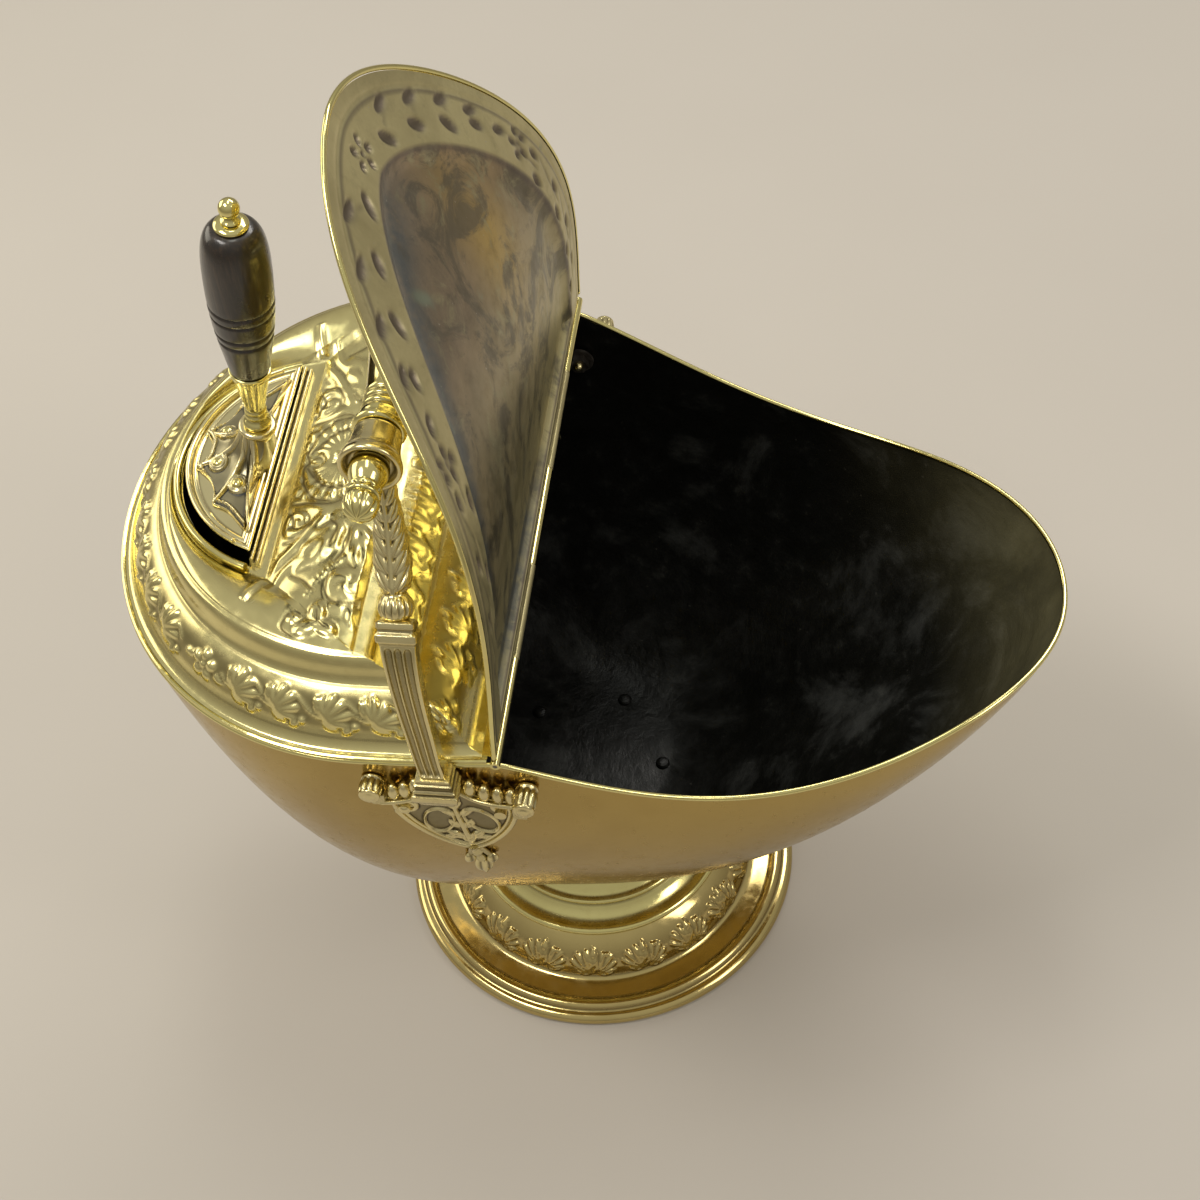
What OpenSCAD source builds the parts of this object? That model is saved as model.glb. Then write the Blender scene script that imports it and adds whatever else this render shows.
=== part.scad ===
// Footed coal scuttle with a hinged lid, a fixed carrying handle and a hand scoop kept in the back.
// Units are millimetres. X runs from the back (-) to the pouring lip (+), Z is up.
// Every sheet, casting, wire and fastener is a module of its own.

/* [Bowl] */
// half width of the bowl at its widest section
half_w = 153.1; // [140:0.1:165]
// where the widest section lies, measured from the foot's axis
wide_x = -76.5; // [-90:0.5:-60]
// length from the widest section to the tip of the lip
front_len = 334.8; // [300:0.1:360]
// length from the widest section to the back of the rim
rear_len = 148; // [130:0.5:160]
// height of the rim at the hinge and round the back
rim_h = 328; // [300:1:350]
// height of the bowl's flat bottom
bowl_z = 112.4; // [100:0.1:125]
// radius of the bowl's flat bottom
bowl_r = 48.4; // [40:0.1:60]
// thickness of the brass sheet
sheet = 1.4; // [1:0.1:2]
// radius of the wired edge of the bowl
rim_r = 1.4; // [1:0.1:2.5]

/* [Foot] */
// radius of the foot on the floor
foot_r = 120; // [110:1:130]
// thickness of the spun foot
foot_t = 1.4; // [1:0.1:2]

/* [Back cover] */
// radius of the D-shaped scoop slot
slot_r = 69.6; // [66:0.1:70]
// position of the slot's straight edge
slot_x = -141; // [-150:0.5:-130]
// how far the slot's centre lies in front of its straight edge
slot_off = 22; // [20:0.1:25]
// height of the flat round the slot
slot_z = 361.6; // [359:0.1:364]
// height of the dome in front of the slot
dome_z = 369; // [366:0.5:372]

/* [Lid] */
// angle the open lid has turned from its closed position
lid_open = 113.2; // [90:0.1:120]
// length of the lid from the hinge
lid_len = 258.9; // [240:0.1:262]
// half width of the lid at the hinge
lid_w = 155; // [150:0.5:160]
// height of the raised panel
panel_h = 5.5; // [3:0.1:8]
// hinge axis, along the length
hinge_x = -8.6; // [-20:0.1:0]
// hinge axis, height
hinge_z = 333.5; // [330:0.1:336]
// radius of the hinge knuckles
knuckle_r = 2.4; // [2:0.1:4]
// radius of the hinge pin
pin_r = 1.1; // [0.8:0.1:1.6]

/* [Carrying handle] */
// height of the grip's axis
grip_z = 488.2; // [470:0.1:500]
// grip axis, along the length
grip_x = -51.4; // [-56:0.1:-46]
// radius of the grip at its middle
grip_r = 16; // [12:0.1:18]
// radius of the rod through the grip
rod_r = 4; // [3:0.1:5]

/* [Scoop] */
// radius of the scoop's half-round trough
trough_r = 64.2; // [60:0.1:65]
// length of the trough
trough_len = 150; // [120:1:160]
// backward lean of the trough's axis as it rises
trough_lean = 7.5; // [0:0.1:10]
// forward lean of the handle
handle_lean = 6.6; // [0:0.1:10]
// largest radius of the wooden handle
wood_r = 16; // [13:0.1:18]

/* [View] */
// node to draw

/* [Hidden] */
brass = [0.80, 0.62, 0.26];
brass_dark = [0.62, 0.50, 0.24];
japan = [0.08, 0.08, 0.08];
ebony = [0.10, 0.07, 0.05];
steel = [0.45, 0.44, 0.42];
nf = 2.054;
nr = 2.022;
tip_span = wide_x + front_len - hinge_x;
// the row's origin is midway between the back of the rim and the tip of the lip
shift = wide_x + (front_len - rear_len) / 2;
gap = 0.05;
$fn = 96;

// ---------- shared shapes ----------

function sgn(v) = v < 0 ? -1 : 1;
function pw(v, e) = sgn(v) * pow(abs(v), e);
function unit(v) = v / norm(v);

// height of the rim above the hinge's rim height, dx in front of the hinge
function saddle(dx) = let(u = max(0, dx / tip_span))
  120 * (-1.0304 * u - 1.0339 * pow(u, 2) + 4.1041 * pow(u, 3) - 2.3821 * pow(u, 4));

// plan of the rim at angle a, moved outwards by off
function plan(a, off = 0) = cos(a) >= 0
  ? [wide_x + (front_len + off) * pw(cos(a), 2 / nf), (half_w + off) * pw(sin(a), 2 / nf)]
  : [wide_x + (rear_len + off) * pw(cos(a), 2 / nr), (half_w + off) * pw(sin(a), 2 / nr)];

function rim_at(x) = rim_h + saddle(x - hinge_x);

// half width of the rim at a station in front of the widest section
function half_at(x) = half_w * pow(1 - pow(max(0, x - wide_x) / front_len, nf), 1 / nf);

// how far out the bowl has swelled at height fraction h, at angle a
function swell(a, h) = let(c = cos(a), n = max(1, 2.19 + 0.393 * c - 1.361 * c * c), m = 2.185 - 0.792 * c)
  pow(max(0, 1 - pow(1 - h, n)), 1 / m);

function bowl_pt(a, h, off, z0, ztop) = let(
    p = plan(a, off),
    b = [(bowl_r + off) * cos(a), (bowl_r + off) * sin(a)],
    g = swell(a, h),
    zr = rim_at(p[0]) + ztop)
  [b[0] + (p[0] - b[0]) * g, b[1] + (p[1] - b[1]) * g, z0 + (zr - z0) * h];

function centre(r) = let(one = [for (p = r) 1])
  [for (k = [0 : 2]) one * [for (p = r) p[k]]] / len(r);

// closed or capped skin through a list of rings with equal point counts
module skin(rings, closed = false) {
  n = len(rings[0]);
  m = len(rings);
  pts = concat([for (r = rings) each r], [centre(rings[0]), centre(rings[m - 1])]);
  sides = [for (i = [0 : (closed ? m - 1 : m - 2)]) for (j = [0 : n - 1])
    let(k = (j + 1) % n, up = ((i + 1) % m) * n, a = i * n + j, b = i * n + k, c = up + k, d = up + j)
    each [[a, c, b], [a, d, c]]];
  last = (m - 1) * n;
  caps = closed ? [] : [for (j = [0 : n - 1]) let(k = (j + 1) % n)
    each [[m * n, j, k], [m * n + 1, last + k, last + j]]];
  polyhedron(points = pts, faces = concat(sides, caps), convexity = 8);
}

// round wire along a list of points
module wire(path, r, closed = true, k = 8) {
  n = len(path);
  rings = [for (i = [0 : n - 1])
    let(a = path[closed ? (i + n - 1) % n : max(0, i - 1)],
        b = path[closed ? (i + 1) % n : min(n - 1, i + 1)],
        t = unit(b - a),
        e1 = unit([t[1], -t[0], 0]),
        e2 = cross(t, e1))
    [for (j = [0 : k - 1]) path[i] + r * (cos(j * 360 / k) * e1 + sin(j * 360 / k) * e2)]];
  skin(rings, closed);
}

module place() {
  translate([-shift, 0, 0]) children();
}

// ---------- bowl ----------

bowl_n = 84;
bowl_h = [0, 0.004, 0.015, 0.035, 0.07, 0.12, 0.18, 0.26, 0.36, 0.47, 0.58, 0.69, 0.79, 0.88, 0.95, 1];

module bowl() {
  outer = [for (h = bowl_h) [for (i = [0 : bowl_n - 1])
    bowl_pt(i * 360 / bowl_n, h, sheet / 2, bowl_z, -rim_r - 0.25)]];
  inner = [for (k = [len(bowl_h) - 1 : -1 : 0]) [for (i = [0 : bowl_n - 1])
    bowl_pt(i * 360 / bowl_n, bowl_h[k], -sheet / 2, bowl_z + sheet, -rim_r - 0.25)]];
  color(brass) place() difference() {
    skin(concat(outer, inner));
    for (a = [0 : 4]) rotate([0, 0, a * 72 - 4])
      translate([44, 0, bowl_z - 1]) cylinder(r = 2.52, h = 4, $fn = 24);
    for (s = [-1, 1], x = screw_x)
      translate([x, s * 156, screw_z]) rotate([s * 90, 0, 0])
        cylinder(r = 3.02, h = 14, $fn = 24);
  }
}

module bowl_rim_bead() {
  color(brass) place() wire([for (i = [0 : 119]) let(p = plan(i * 3)) [p[0], p[1], rim_at(p[0])]], rim_r);
}

// ---------- foot ----------

module foot() {
  color(brass) place() rotate_extrude($fn = 160) polygon([
    [104, 0], [foot_r - 3, 0], [foot_r - 0.8, 1.4], [foot_r, 3.6], [foot_r - 0.8, 5.8], [foot_r - 3, 7.4],
    [113.6, 8.2], [112.6, 8.6], [112, 10], [110.4, 11.2], [108.4, 11.2], [106.8, 10], [106, 8.6],
    [104, 9], [98, 10], [93, 11.4], [91.4, 13.4], [90.2, 17.4], [88.2, 22.4], [85.2, 27.2], [81.4, 31.2],
    [77.4, 34], [74.2, 35.4], [74.2, 35.4 - foot_t], [76.8, 32.9], [80.5, 30.2], [84.1, 26.4],
    [86.9, 21.8], [88.8, 16.9], [90, 12.8], [91.4, 10.8], [97.8, 8.6], [104, 7.4], [107, 6.6],
    [108, 3], [104, 2]]);
}

module foot_neck() {
  color(brass) place() difference() {
    rotate_extrude($fn = 120) polygon([
      [72.4, 35.45], [76.4, 35.45], [78.4, 36.6], [78.9, 38.2], [78.2, 40], [76.2, 41], [73.6, 41.4],
      [71.4, 42], [67.4, 44.6], [64.8, 47.6], [63.6, 48.4], [64.2, 50], [63.6, 51.8], [62, 52.6],
      [60.4, 52.8], [57.6, 55.4], [52.6, 60.4], [47.4, 67], [43.2, 74.6], [40.6, 82], [40, 88],
      [41.6, 90], [42, 92], [41.4, 94], [39.8, 95.6], [41.2, 100], [44.6, 105.6], [49.4, 110.2],
      [53, bowl_z - 0.02],
      [36, bowl_z - 0.02], [36, bowl_z - 1.5], [47, bowl_z - 1.6], [43.6, 106.6], [39.8, 100.6],
      [38.2, 95.6], [38.4, 88], [39, 81.6], [41.8, 73.8], [46.2, 66], [51.6, 59.4], [56.8, 54.2],
      [60.4, 50.6], [63.4, 46.6], [66.6, 43.2], [70.8, 40.4], [72.4, 39.6]]);
    for (a = [0 : 4]) rotate([0, 0, a * 72 - 4])
      translate([44, 0, bowl_z - 6]) cylinder(r = 2.52, h = 8, $fn = 24);
  }
}

module foot_rivets() {
  color(steel) place() for (a = [0 : 4]) rotate([0, 0, a * 72 - 4]) translate([44, 0, 0]) {
    translate([0, 0, bowl_z - 3.2]) cylinder(r = 2.5, h = 5.2);
    translate([0, 0, bowl_z + sheet + 0.02]) rotate_extrude($fn = 48)
      polygon([[0, 0], [4.2, 0], [4, 1], [3.2, 1.9], [1.8, 2.4], [0, 2.6]]);
  }
}

// ---------- back cover ----------

cover_front = hinge_x - 5;
front_n = 14;
rear_n = 62;
// offset from the rim, offset from the hinge edge, height
cover_levels = [[1.3, 0, 330.8], [3.4, 3, 331.1], [6, 8, 333.4], [8.5, 12, 337.5], [11, 16, 343],
  [14.5, 21, 348.5], [18, 27, 352.4], [22, 34, 355], [24.5, 38, 356.2], [26.5, 43, 359.2],
  [28.5, 49, 364.4], [30.6, 56, 367.8], [33, 64, dome_z]];

// behind the slot the dome stays low and narrow: 0 beside the widest section, 1 at the back
function tail(a) = pow(max(0, -cos(a)), 4);
function tail_in(a, dd) = dd - 0.42 * tail(a) * max(0, dd - 24.5);
function tail_z(a, z) = z - 0.93 * tail(a) * max(0, z - slot_z);

// one level of the cover: the front edge from near to far, then round the back
function cover_ring(dd, dh, z) = let(
    xf = cover_front - dh,
    hw = half_at(xf) - dd,
    side = 6)
  concat(
    [for (i = [0 : front_n - 1]) [xf, -hw + 2 * hw * i / front_n, z]],
    [for (i = [0 : side - 1]) let(x = xf + (wide_x - xf) * i / side) [x, half_at(x) - dd, z]],
    [for (i = [0 : rear_n - 2 * side]) let(a = 90 + 180 * i / (rear_n - 2 * side), d = tail_in(a, dd))
      [wide_x + (rear_len - d) * pw(cos(a), 2 / nr), (half_w - d) * pw(sin(a), 2 / nr), tail_z(a, z)]],
    [for (i = [1 : side - 1]) let(x = wide_x + (xf - wide_x) * i / side) [x, -(half_at(x) - dd), z]]);

slot_a = acos(slot_off / slot_r);

// one ring round the slot, g outside its curve and f in front of its straight edge
function slot_ring(g, f, z) = let(cx = slot_x + slot_off, r = slot_r + g, xs = slot_x + f,
    a0 = acos((cx - xs) / r), hw = r * sin(a0), m = rear_n)
  concat(
    [for (i = [0 : front_n - 1]) [xs, -hw + 2 * hw * i / front_n, z]],
    [for (i = [0 : m - 1]) let(a = 180 - a0 + 2 * a0 * i / m) [cx + r * cos(a), r * sin(a), z]]);

// part of the way s from ring a to ring b, raised by dz where the two lie far apart
function mix(a, b, s, dz) = [for (i = [0 : len(a) - 1])
  a[i] + (b[i] - a[i]) * s + [0, 0, dz * min(1, norm(b[i] - a[i]) / 30)]];

module back_cover() {
  last = cover_levels[len(cover_levels) - 1];
  top_out = [for (v = cover_levels) cover_ring(v[0], v[1], v[2])];
  low_out = [for (k = [0 : len(cover_levels) - 1]) let(v = cover_levels[k])
    cover_ring(v[0] + (k == 0 ? 0 : 0.8), v[1] + (k == 0 ? 0 : 1), v[2] - 1)];
  t_last = cover_ring(last[0], last[1], last[2]);
  b_last = cover_ring(last[0] + 0.8, last[1] + 1, last[2] - 1);
  steps = [[0.3, 3.4], [0.65, 3.2]];
  // flat band round the slot, under its rim and moulding
  band = [4.8, 10.4];
  top_in = [for (s = steps) mix(t_last, slot_ring(band[0], band[1], slot_z), s[0], s[1])];
  low_in = [for (s = steps) mix(b_last, slot_ring(band[0], band[1], slot_z - 1), s[0], s[1])];
  rings = concat(
    [slot_ring(0, 0, slot_z - 1), slot_ring(band[0], band[1], slot_z - 1)],
    [for (k = [len(steps) - 1 : -1 : 0]) low_in[k]],
    [for (k = [len(cover_levels) - 1 : -1 : 0]) low_out[k]],
    top_out, top_in, [slot_ring(band[0], band[1], slot_z), slot_ring(0, 0, slot_z)]);
  color(brass) place() skin(rings, true);
}

module cover_edge_bead() {
  p = concat(
    [for (i = [0 : 6]) let(x = cover_front + (wide_x - cover_front) * i / 6) [x, half_at(x), rim_h + 2.65]],
    [for (i = [1 : 60]) let(q = plan(90 + i * 3)) [q[0], q[1], rim_h + 2.65]],
    [for (i = [1 : 6]) let(x = wide_x + (cover_front - wide_x) * i / 6) [x, -half_at(x), rim_h + 2.65]]);
  color(brass) place() wire(p, 1.2, false);
}

module slot_rim() {
  color(brass) place() translate([slot_x + slot_off, 0, slot_z + 2.1])
    rotate([0, 0, 180 - slot_a]) rotate_extrude(angle = 2 * slot_a)
      translate([slot_r + 2.4, 0]) circle(r = 2, $fn = 32);
}

module slot_front_bar() {
  color(brass) place() translate([0, 65, 0]) rotate([90, 0, 0]) linear_extrude(130)
    translate([slot_x, slot_z + 0.1]) {
      translate([1.6, 0]) square([7.4, 1.8]);
      translate([2.2, 0]) square([3.2, 4.2]);
      translate([3.8, 4.2]) circle(r = 1.6, $fn = 32);
      translate([7.6, 1.8]) circle(r = 1.2, $fn = 32);
    }
}

// ---------- hinge ----------

// ends of the five knuckles across the hinge, fixed and moving in turn
knuckle_y = [-155.4, -93.4, -34.9, 29.2, 98.8, 155.4];

module knuckle(y0, y1) {
  // the outer leaves stop short of the cover's edge wire
  e0 = y0 < -150 ? 7 : 1;
  e1 = y1 > 150 ? 7 : 1;
  translate([hinge_x, y0 + 0.15, hinge_z]) rotate([-90, 0, 0]) difference() {
    union() {
      cylinder(r = knuckle_r, h = y1 - y0 - 0.3, $fn = 48);
      translate([-7.6, knuckle_r - 1.1, e0]) cube([7.6, 1.1, y1 - y0 - e0 - e1 - 0.3]);
    }
    translate([0, 0, -1]) cylinder(r = pin_r + gap, h = y1 - y0 + 2, $fn = 48);
  }
}

module fixed_hinge_knuckles() {
  color(brass) place() for (i = [0, 2, 4]) knuckle(knuckle_y[i], knuckle_y[i + 1]);
}

module hinge_pin() {
  color(steel) place() translate([hinge_x, 155.2, hinge_z]) rotate([90, 0, 0])
    cylinder(r = pin_r, h = 310.4, $fn = 48);
}

// ---------- carrying handle ----------

arm_x = -36.8;
screw_x = [-57, -10];
screw_z = 295;
foot_of_arm = 333.1;
// how far the handle and its brackets lean back for each unit of height
lean = 0.0955;

// middle of the casting at height z
function lean_x(z) = arm_x - lean * (z - foot_of_arm);

// height of the ledge at distance u from the casting's middle
function ledge_z(u) = 301.5 + 16.4 * exp(-max(0, abs(u) - 6.5) / 9.6) - 0.04 * u;

// the casting's outline: a shield under the ledge, with a stem and a bud below it
module shield() {
  half = 30.5;
  deep = 41;
  top = 291.5;
  polygon(concat(
    [for (i = [0 : 24]) let(t = i * 7.5, z = top - deep * pow(sin(t), 4 / 3))
      [lean_x(z) - half * pw(cos(t), 4 / 3), z]],
    [for (i = [0 : 16]) let(u = half - half * i / 8, z = ledge_z(u)) [lean_x(z) + u, z]]));
  translate([lean_x(245) - 4, 236]) square([8, 18]);
  translate([lean_x(232), 232]) circle(r = 6.4, $fn = 40);
  for (s = [-1, 1]) translate([lean_x(237) + s * 5.6, 237.6]) circle(r = 3.4, $fn = 32);
}

module ledge() {
  half = 32;
  n = 20;
  polygon(concat(
    [for (i = [0 : n]) let(u = half * (2 * i / n - 1), z = ledge_z(u)) [lean_x(z) + u, z - 1.8]],
    [for (i = [n : -1 : 0]) let(u = half * (2 * i / n - 1), z = ledge_z(u)) [lean_x(z) + u, z + 2.2]]));
}

// a strip of the bowl's wall, thick in front, used as the casting's back
module wall_pad(x0, x1, z0, z1, thick) {
  nx = 8;
  nz = 7;
  function wall(x, z) = let(h = (z - bowl_z) / (rim_h - bowl_z), yy = half_at(x) + sheet / 2)
    bowl_r + (yy - bowl_r) * pow(1 - pow(1 - h, 2.19), 1 / 2.185) + 0.25;
  back = [for (j = [0 : nz]) for (i = [0 : nx]) let(x = x0 + (x1 - x0) * i / nx, z = z0 + (z1 - z0) * j / nz)
    [x, -wall(x, z), z]];
  face = [for (p = back) p + [0, -thick, 0]];
  w = nx + 1;
  n = len(back);
  quads = [for (j = [0 : nz - 1]) for (i = [0 : nx - 1]) let(a = j * w + i) [a, a + 1, a + w + 1, a + w]];
  edge = concat([for (i = [0 : nx]) i], [for (j = [1 : nz]) j * w + nx],
    [for (i = [nx - 1 : -1 : 0]) nz * w + i], [for (j = [nz - 1 : -1 : 1]) j * w]);
  m = len(edge);
  faces = concat(
    [for (q = quads) each [[q[0], q[1], q[2]], [q[0], q[2], q[3]]]],
    [for (q = quads) each [[n + q[0], n + q[2], n + q[1]], [n + q[0], n + q[3], n + q[2]]]],
    [for (k = [0 : m - 1]) let(a = edge[k], b = edge[(k + 1) % m]) each [[a, n + a, n + b], [a, n + b, b]]]);
  polyhedron(points = concat(back, face), faces = faces, convexity = 4);
}

// beads along the ledge, and the barrels at its ends, measured from the casting's middle
bead_u = [-25, -19, -13, 12.6, 18.6, 24.6, 30.6];
barrels = [[-35, 314.5], [38, 309]];

module bracket() {
  difference() {
    union() {
      intersection() {
        wall_pad(lean_x(270) - 40, lean_x(270) + 40, 222, 319, 4.2);
        translate([0, -130, 0]) rotate([90, 0, 0]) linear_extrude(60) shield();
      }
      translate([0, -153.9, 0]) rotate([90, 0, 0]) linear_extrude(7.6) ledge();
      for (u = bead_u) let(z = ledge_z(u)) translate([lean_x(z) + u, -158.2, z + 1.5]) {
        cylinder(r = 3.1, h = 7.6, $fn = 32);
        translate([0, 0, 7.6]) sphere(r = 3.1, $fn = 32);
      }
      // barrels, each on a block at the end of the ledge
      for (b = barrels) let(x = lean_x(b[1]) + b[0]) {
        translate([x, -half_at(x) - 1.4, b[1]]) rotate([90, 0, 0]) {
          cylinder(r = 5.8, h = 163.6 - half_at(x) - 1.4, $fn = 48);
          cylinder(r = 4, h = 165 - half_at(x) - 1.4, $fn = 48);
        }
        translate([x + (b[0] < 0 ? -0.6 : -6), -161.5, b[1] - 10]) cube([6.6, 7.6, 8]);
      }
      // plinth under the arm
      translate([arm_x - 9, -166.5, 312]) cube([18, 12.8, 7]);
      translate([arm_x - 11, -168.4, 318.5]) cube([22, 14.8, 5]);
      translate([arm_x - 9.4, -166.8, 323.4]) cube([18.8, 13.2, 5.6]);
      translate([arm_x - 8.4, -165.8, 329]) cube([16.8, 12, 4]);
      // ball on the bud
      translate([lean_x(232), -147.6, 232]) sphere(r = 4.4, $fn = 32);
    }
    // stud holes and the arm's tenon
    for (x = screw_x) translate([x, -159.2, screw_z]) rotate([-90, 0, 0]) cylinder(r = 3.02, h = 12, $fn = 24);
    translate([arm_x - 3.03, -162.43, 320]) cube([6.06, 6.06, 20]);
  }
}

module near_bracket() {
  color(brass_dark) place() bracket();
}

module far_bracket() {
  color(brass_dark) place() mirror([0, 1, 0]) bracket();
}

module bracket_screws() {
  color(steel) place() for (s = [-1, 1], x = screw_x)
    translate([x, s * 158, screw_z]) rotate([s * 90, 0, 0]) {
      cylinder(r = 3, h = 16.4, $fn = 32);
      translate([0, 0, 16.4]) sphere(r = 3, $fn = 32);
    }
}

module bracket_nuts() {
  color(japan) place() for (s = [-1, 1], x = screw_x) let(y = half_at(x) - 3)
    translate([x, s * y, screw_z]) rotate([s * 90, 0, 0]) difference() {
      union() {
        cylinder(r = 8, h = 1.6, $fn = 48);
        translate([0, 0, 1.6]) cylinder(r = 5.6, h = 4, $fn = 6);
      }
      translate([0, 0, -1]) cylinder(r = 3.02, h = 8, $fn = 32);
    }
}

// centre line of an arm: distance from the middle, height
arm_path = [[159.4, 324], [159.4, 333.05], [159.4, 333.1], [159.2, 345], [157.4, 360], [155, 378],
  [151.6, 394], [146.4, 408], [140.4, 417], [139.4, 418.2], [137.6, 420.2], [134.6, 423.6],
  [131.6, 427], [129.8, 429], [128.8, 430.2], [123.4, 436.4], [116.2, 446], [109.6, 456],
  [104.4, 466], [101.4, 476], [100.4, 481.6]];
arm_half = [3, 3, 6.2, 6.3, 6.5, 6.7, 6.9, 7.1, 7.1, 7.4, 8, 8.2, 8, 7.2, 5.4, 6.4, 6.6, 6.2, 5.6, 5.2, 5];
arm_deep = [3, 3, 5, 4.6, 4.3, 4.2, 4.2, 4.2, 4.2, 6, 7.4, 7.8, 7.4, 6, 4, 4.2, 4.2, 4, 4, 4.4, 4.4];

module arm() {
  n = len(arm_path);
  rings = [for (i = [0 : n - 1])
    let(a = arm_path[max(0, i - 1)], b = arm_path[min(n - 1, i + 1)],
        t = unit([0, -(b[0] - a[0]), b[1] - a[1]]),
        out = i < 3 ? [0, -1, 0] : [0, -t[2], t[1]],
        h = arm_half[i],
        d = arm_deep[i],
        f = i < 2 ? 0 : (i < 9 ? 1.1 : (i < 14 ? -0.2 : 0.6)),
        c = [lean_x(max(foot_of_arm, arm_path[i][1])), -arm_path[i][0], arm_path[i][1]],
        sec = [[-d, -h], [d * 0.7, -h], [d, -h * 0.8], [d - f, -h * 0.56], [d, -h * 0.32], [d - f, 0],
          [d, h * 0.32], [d - f, h * 0.56], [d, h * 0.8], [d * 0.7, h], [-d, h]])
    [for (p = sec) c + p[0] * out + [p[1], 0, 0]]];
  // the first two rings are the tenon, rings 9 to 14 the collar between the fluted shaft and the leaf
  difference() {
    union() {
      skin(rings);
      // bell-shaped eye round the rod
      translate([grip_x, -90.6, grip_z]) rotate([90, 0, 0]) rotate_extrude($fn = 72)
        polygon([[0, 0], [10.6, 0], [10.8, 4], [11.4, 9], [12.6, 14], [13.9, 18], [13.9, 20],
          [12.4, 20.6], [10.8, 19], [10, 17.4], [0, 17.4]]);
    }
    translate([grip_x, -80, grip_z]) rotate([90, 0, 0]) cylinder(r = rod_r + 0.02, h = 60, $fn = 48);
  }
}

module near_handle_arm() {
  color(brass) place() arm();
}

module far_handle_arm() {
  color(brass) place() mirror([0, 1, 0]) arm();
}

module handle_grip() {
  half = [[0, grip_r], [14, grip_r - 0.3], [28, grip_r - 1.2], [42, grip_r - 2.8], [54, grip_r - 4.6],
    [62, grip_r - 5.6], [68, 10], [71, 10], [71.4, 9.2], [72.6, 9.2], [73, 10], [75, 10], [75.4, 9.2],
    [76.6, 9.2], [77, 10], [79, 10], [79.4, 9.2], [80.6, 9.2], [81, 10], [86.4, 10], [86.8, 11.6],
    [88, 12], [89.4, 11.6], [90.4, 10.8]];
  n = len(half);
  color(brass) place() translate([grip_x, 0, grip_z]) rotate([90, 0, 0]) difference() {
    rotate_extrude($fn = 72) polygon(concat(
      [[0, -90.5]], [for (i = [n - 1 : -1 : 1]) [half[i][1], -half[i][0]]],
      [for (i = [0 : n - 1]) [half[i][1], half[i][0]]], [[0, 90.5]]));
    translate([0, 0, -95]) cylinder(r = rod_r + 0.02, h = 190, $fn = 48);
  }
}

module grip_rod() {
  color(steel) place() translate([grip_x, 0, grip_z]) rotate([90, 0, 0])
    translate([0, 0, -128]) cylinder(r = rod_r, h = 256, $fn = 48);
}

module grip_end_nuts() {
  color(brass) place() for (s = [-1, 1]) translate([grip_x, s * 108.1, grip_z]) rotate([-s * 90, 0, 0])
    difference() {
      rotate_extrude($fn = 72) polygon([
        [0, 0], [8.4, 0], [8.8, 3], [8.4, 8], [6.6, 12], [6.2, 13.2], [7.2, 13.8], [7.4, 16], [7.2, 18.2],
        [6.6, 18.6], [7.6, 20.6], [7.9, 23], [7.2, 25.6], [5.4, 28], [2.6, 29.8], [0, 30.4]]);
      translate([0, 0, -1]) cylinder(r = rod_r + 0.02, h = 21.4, $fn = 48);
    }
}

// ---------- lid, drawn closed and turned open about the hinge ----------

lid_front_n = 44;
lid_back_n = 12;

module opened() {
  place() translate([hinge_x, 0, hinge_z]) rotate([0, -lid_open, 0]) children();
}

// curved edge of length a and half width w, starting and ending at x0
function lid_curve(a, w, e, x0, dz) = [for (i = [0 : lid_front_n])
  let(t = -90 + 180 * i / lid_front_n, x = x0 + (a - x0) * pw(cos(t), 2 / e))
  [x, w * pw(sin(t), 2 / e), saddle(x) + dz]];

// the curve closed by a straight edge
function lid_ring(a, w, e, x0, dz) = concat(
  lid_curve(a, w, e, x0, dz),
  [for (i = [1 : lid_back_n - 1]) [x0, w - 2 * w * i / lid_back_n, saddle(x0) + dz]]);

module lid_panel() {
  t = 1;
  top = [
    lid_ring(lid_len - 1.7, lid_w - 1.7, 1.79, 5, t / 2),
    lid_ring(lid_len - 7, lid_w - 6, 1.79, 6, t / 2),
    lid_ring(219, 130, 1.62, 9, t / 2),
    lid_ring(214, 125, 1.6, 12, t / 2 + panel_h - 0.8),
    lid_ring(208, 120, 1.6, 15, t / 2 + panel_h),
    lid_ring(170, 96, 1.7, 20, t / 2 + panel_h),
    lid_ring(120, 66, 1.8, 28, t / 2 + panel_h),
    lid_ring(72, 34, 1.9, 36, t / 2 + panel_h)];
  low = [
    lid_ring(lid_len - 1.7, lid_w - 1.7, 1.79, 5, -t / 2),
    lid_ring(lid_len - 7, lid_w - 6, 1.79, 6, -t / 2),
    lid_ring(217.6, 128.6, 1.62, 10, -t / 2),
    lid_ring(212.6, 123.6, 1.6, 13, -t / 2 + panel_h - 0.8),
    lid_ring(207, 119, 1.6, 16, -t / 2 + panel_h),
    lid_ring(170, 96, 1.7, 20, -t / 2 + panel_h),
    lid_ring(120, 66, 1.8, 28, -t / 2 + panel_h),
    lid_ring(72, 34, 1.9, 36, -t / 2 + panel_h)];
  color(brass_dark) opened() skin(concat([for (k = [len(low) - 1 : -1 : 0]) low[k]], top));
}

module lid_edge_bead() {
  color(brass) opened() wire(lid_curve(lid_len, lid_w, 1.79, 5, 0), 1.3, false);
}

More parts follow.
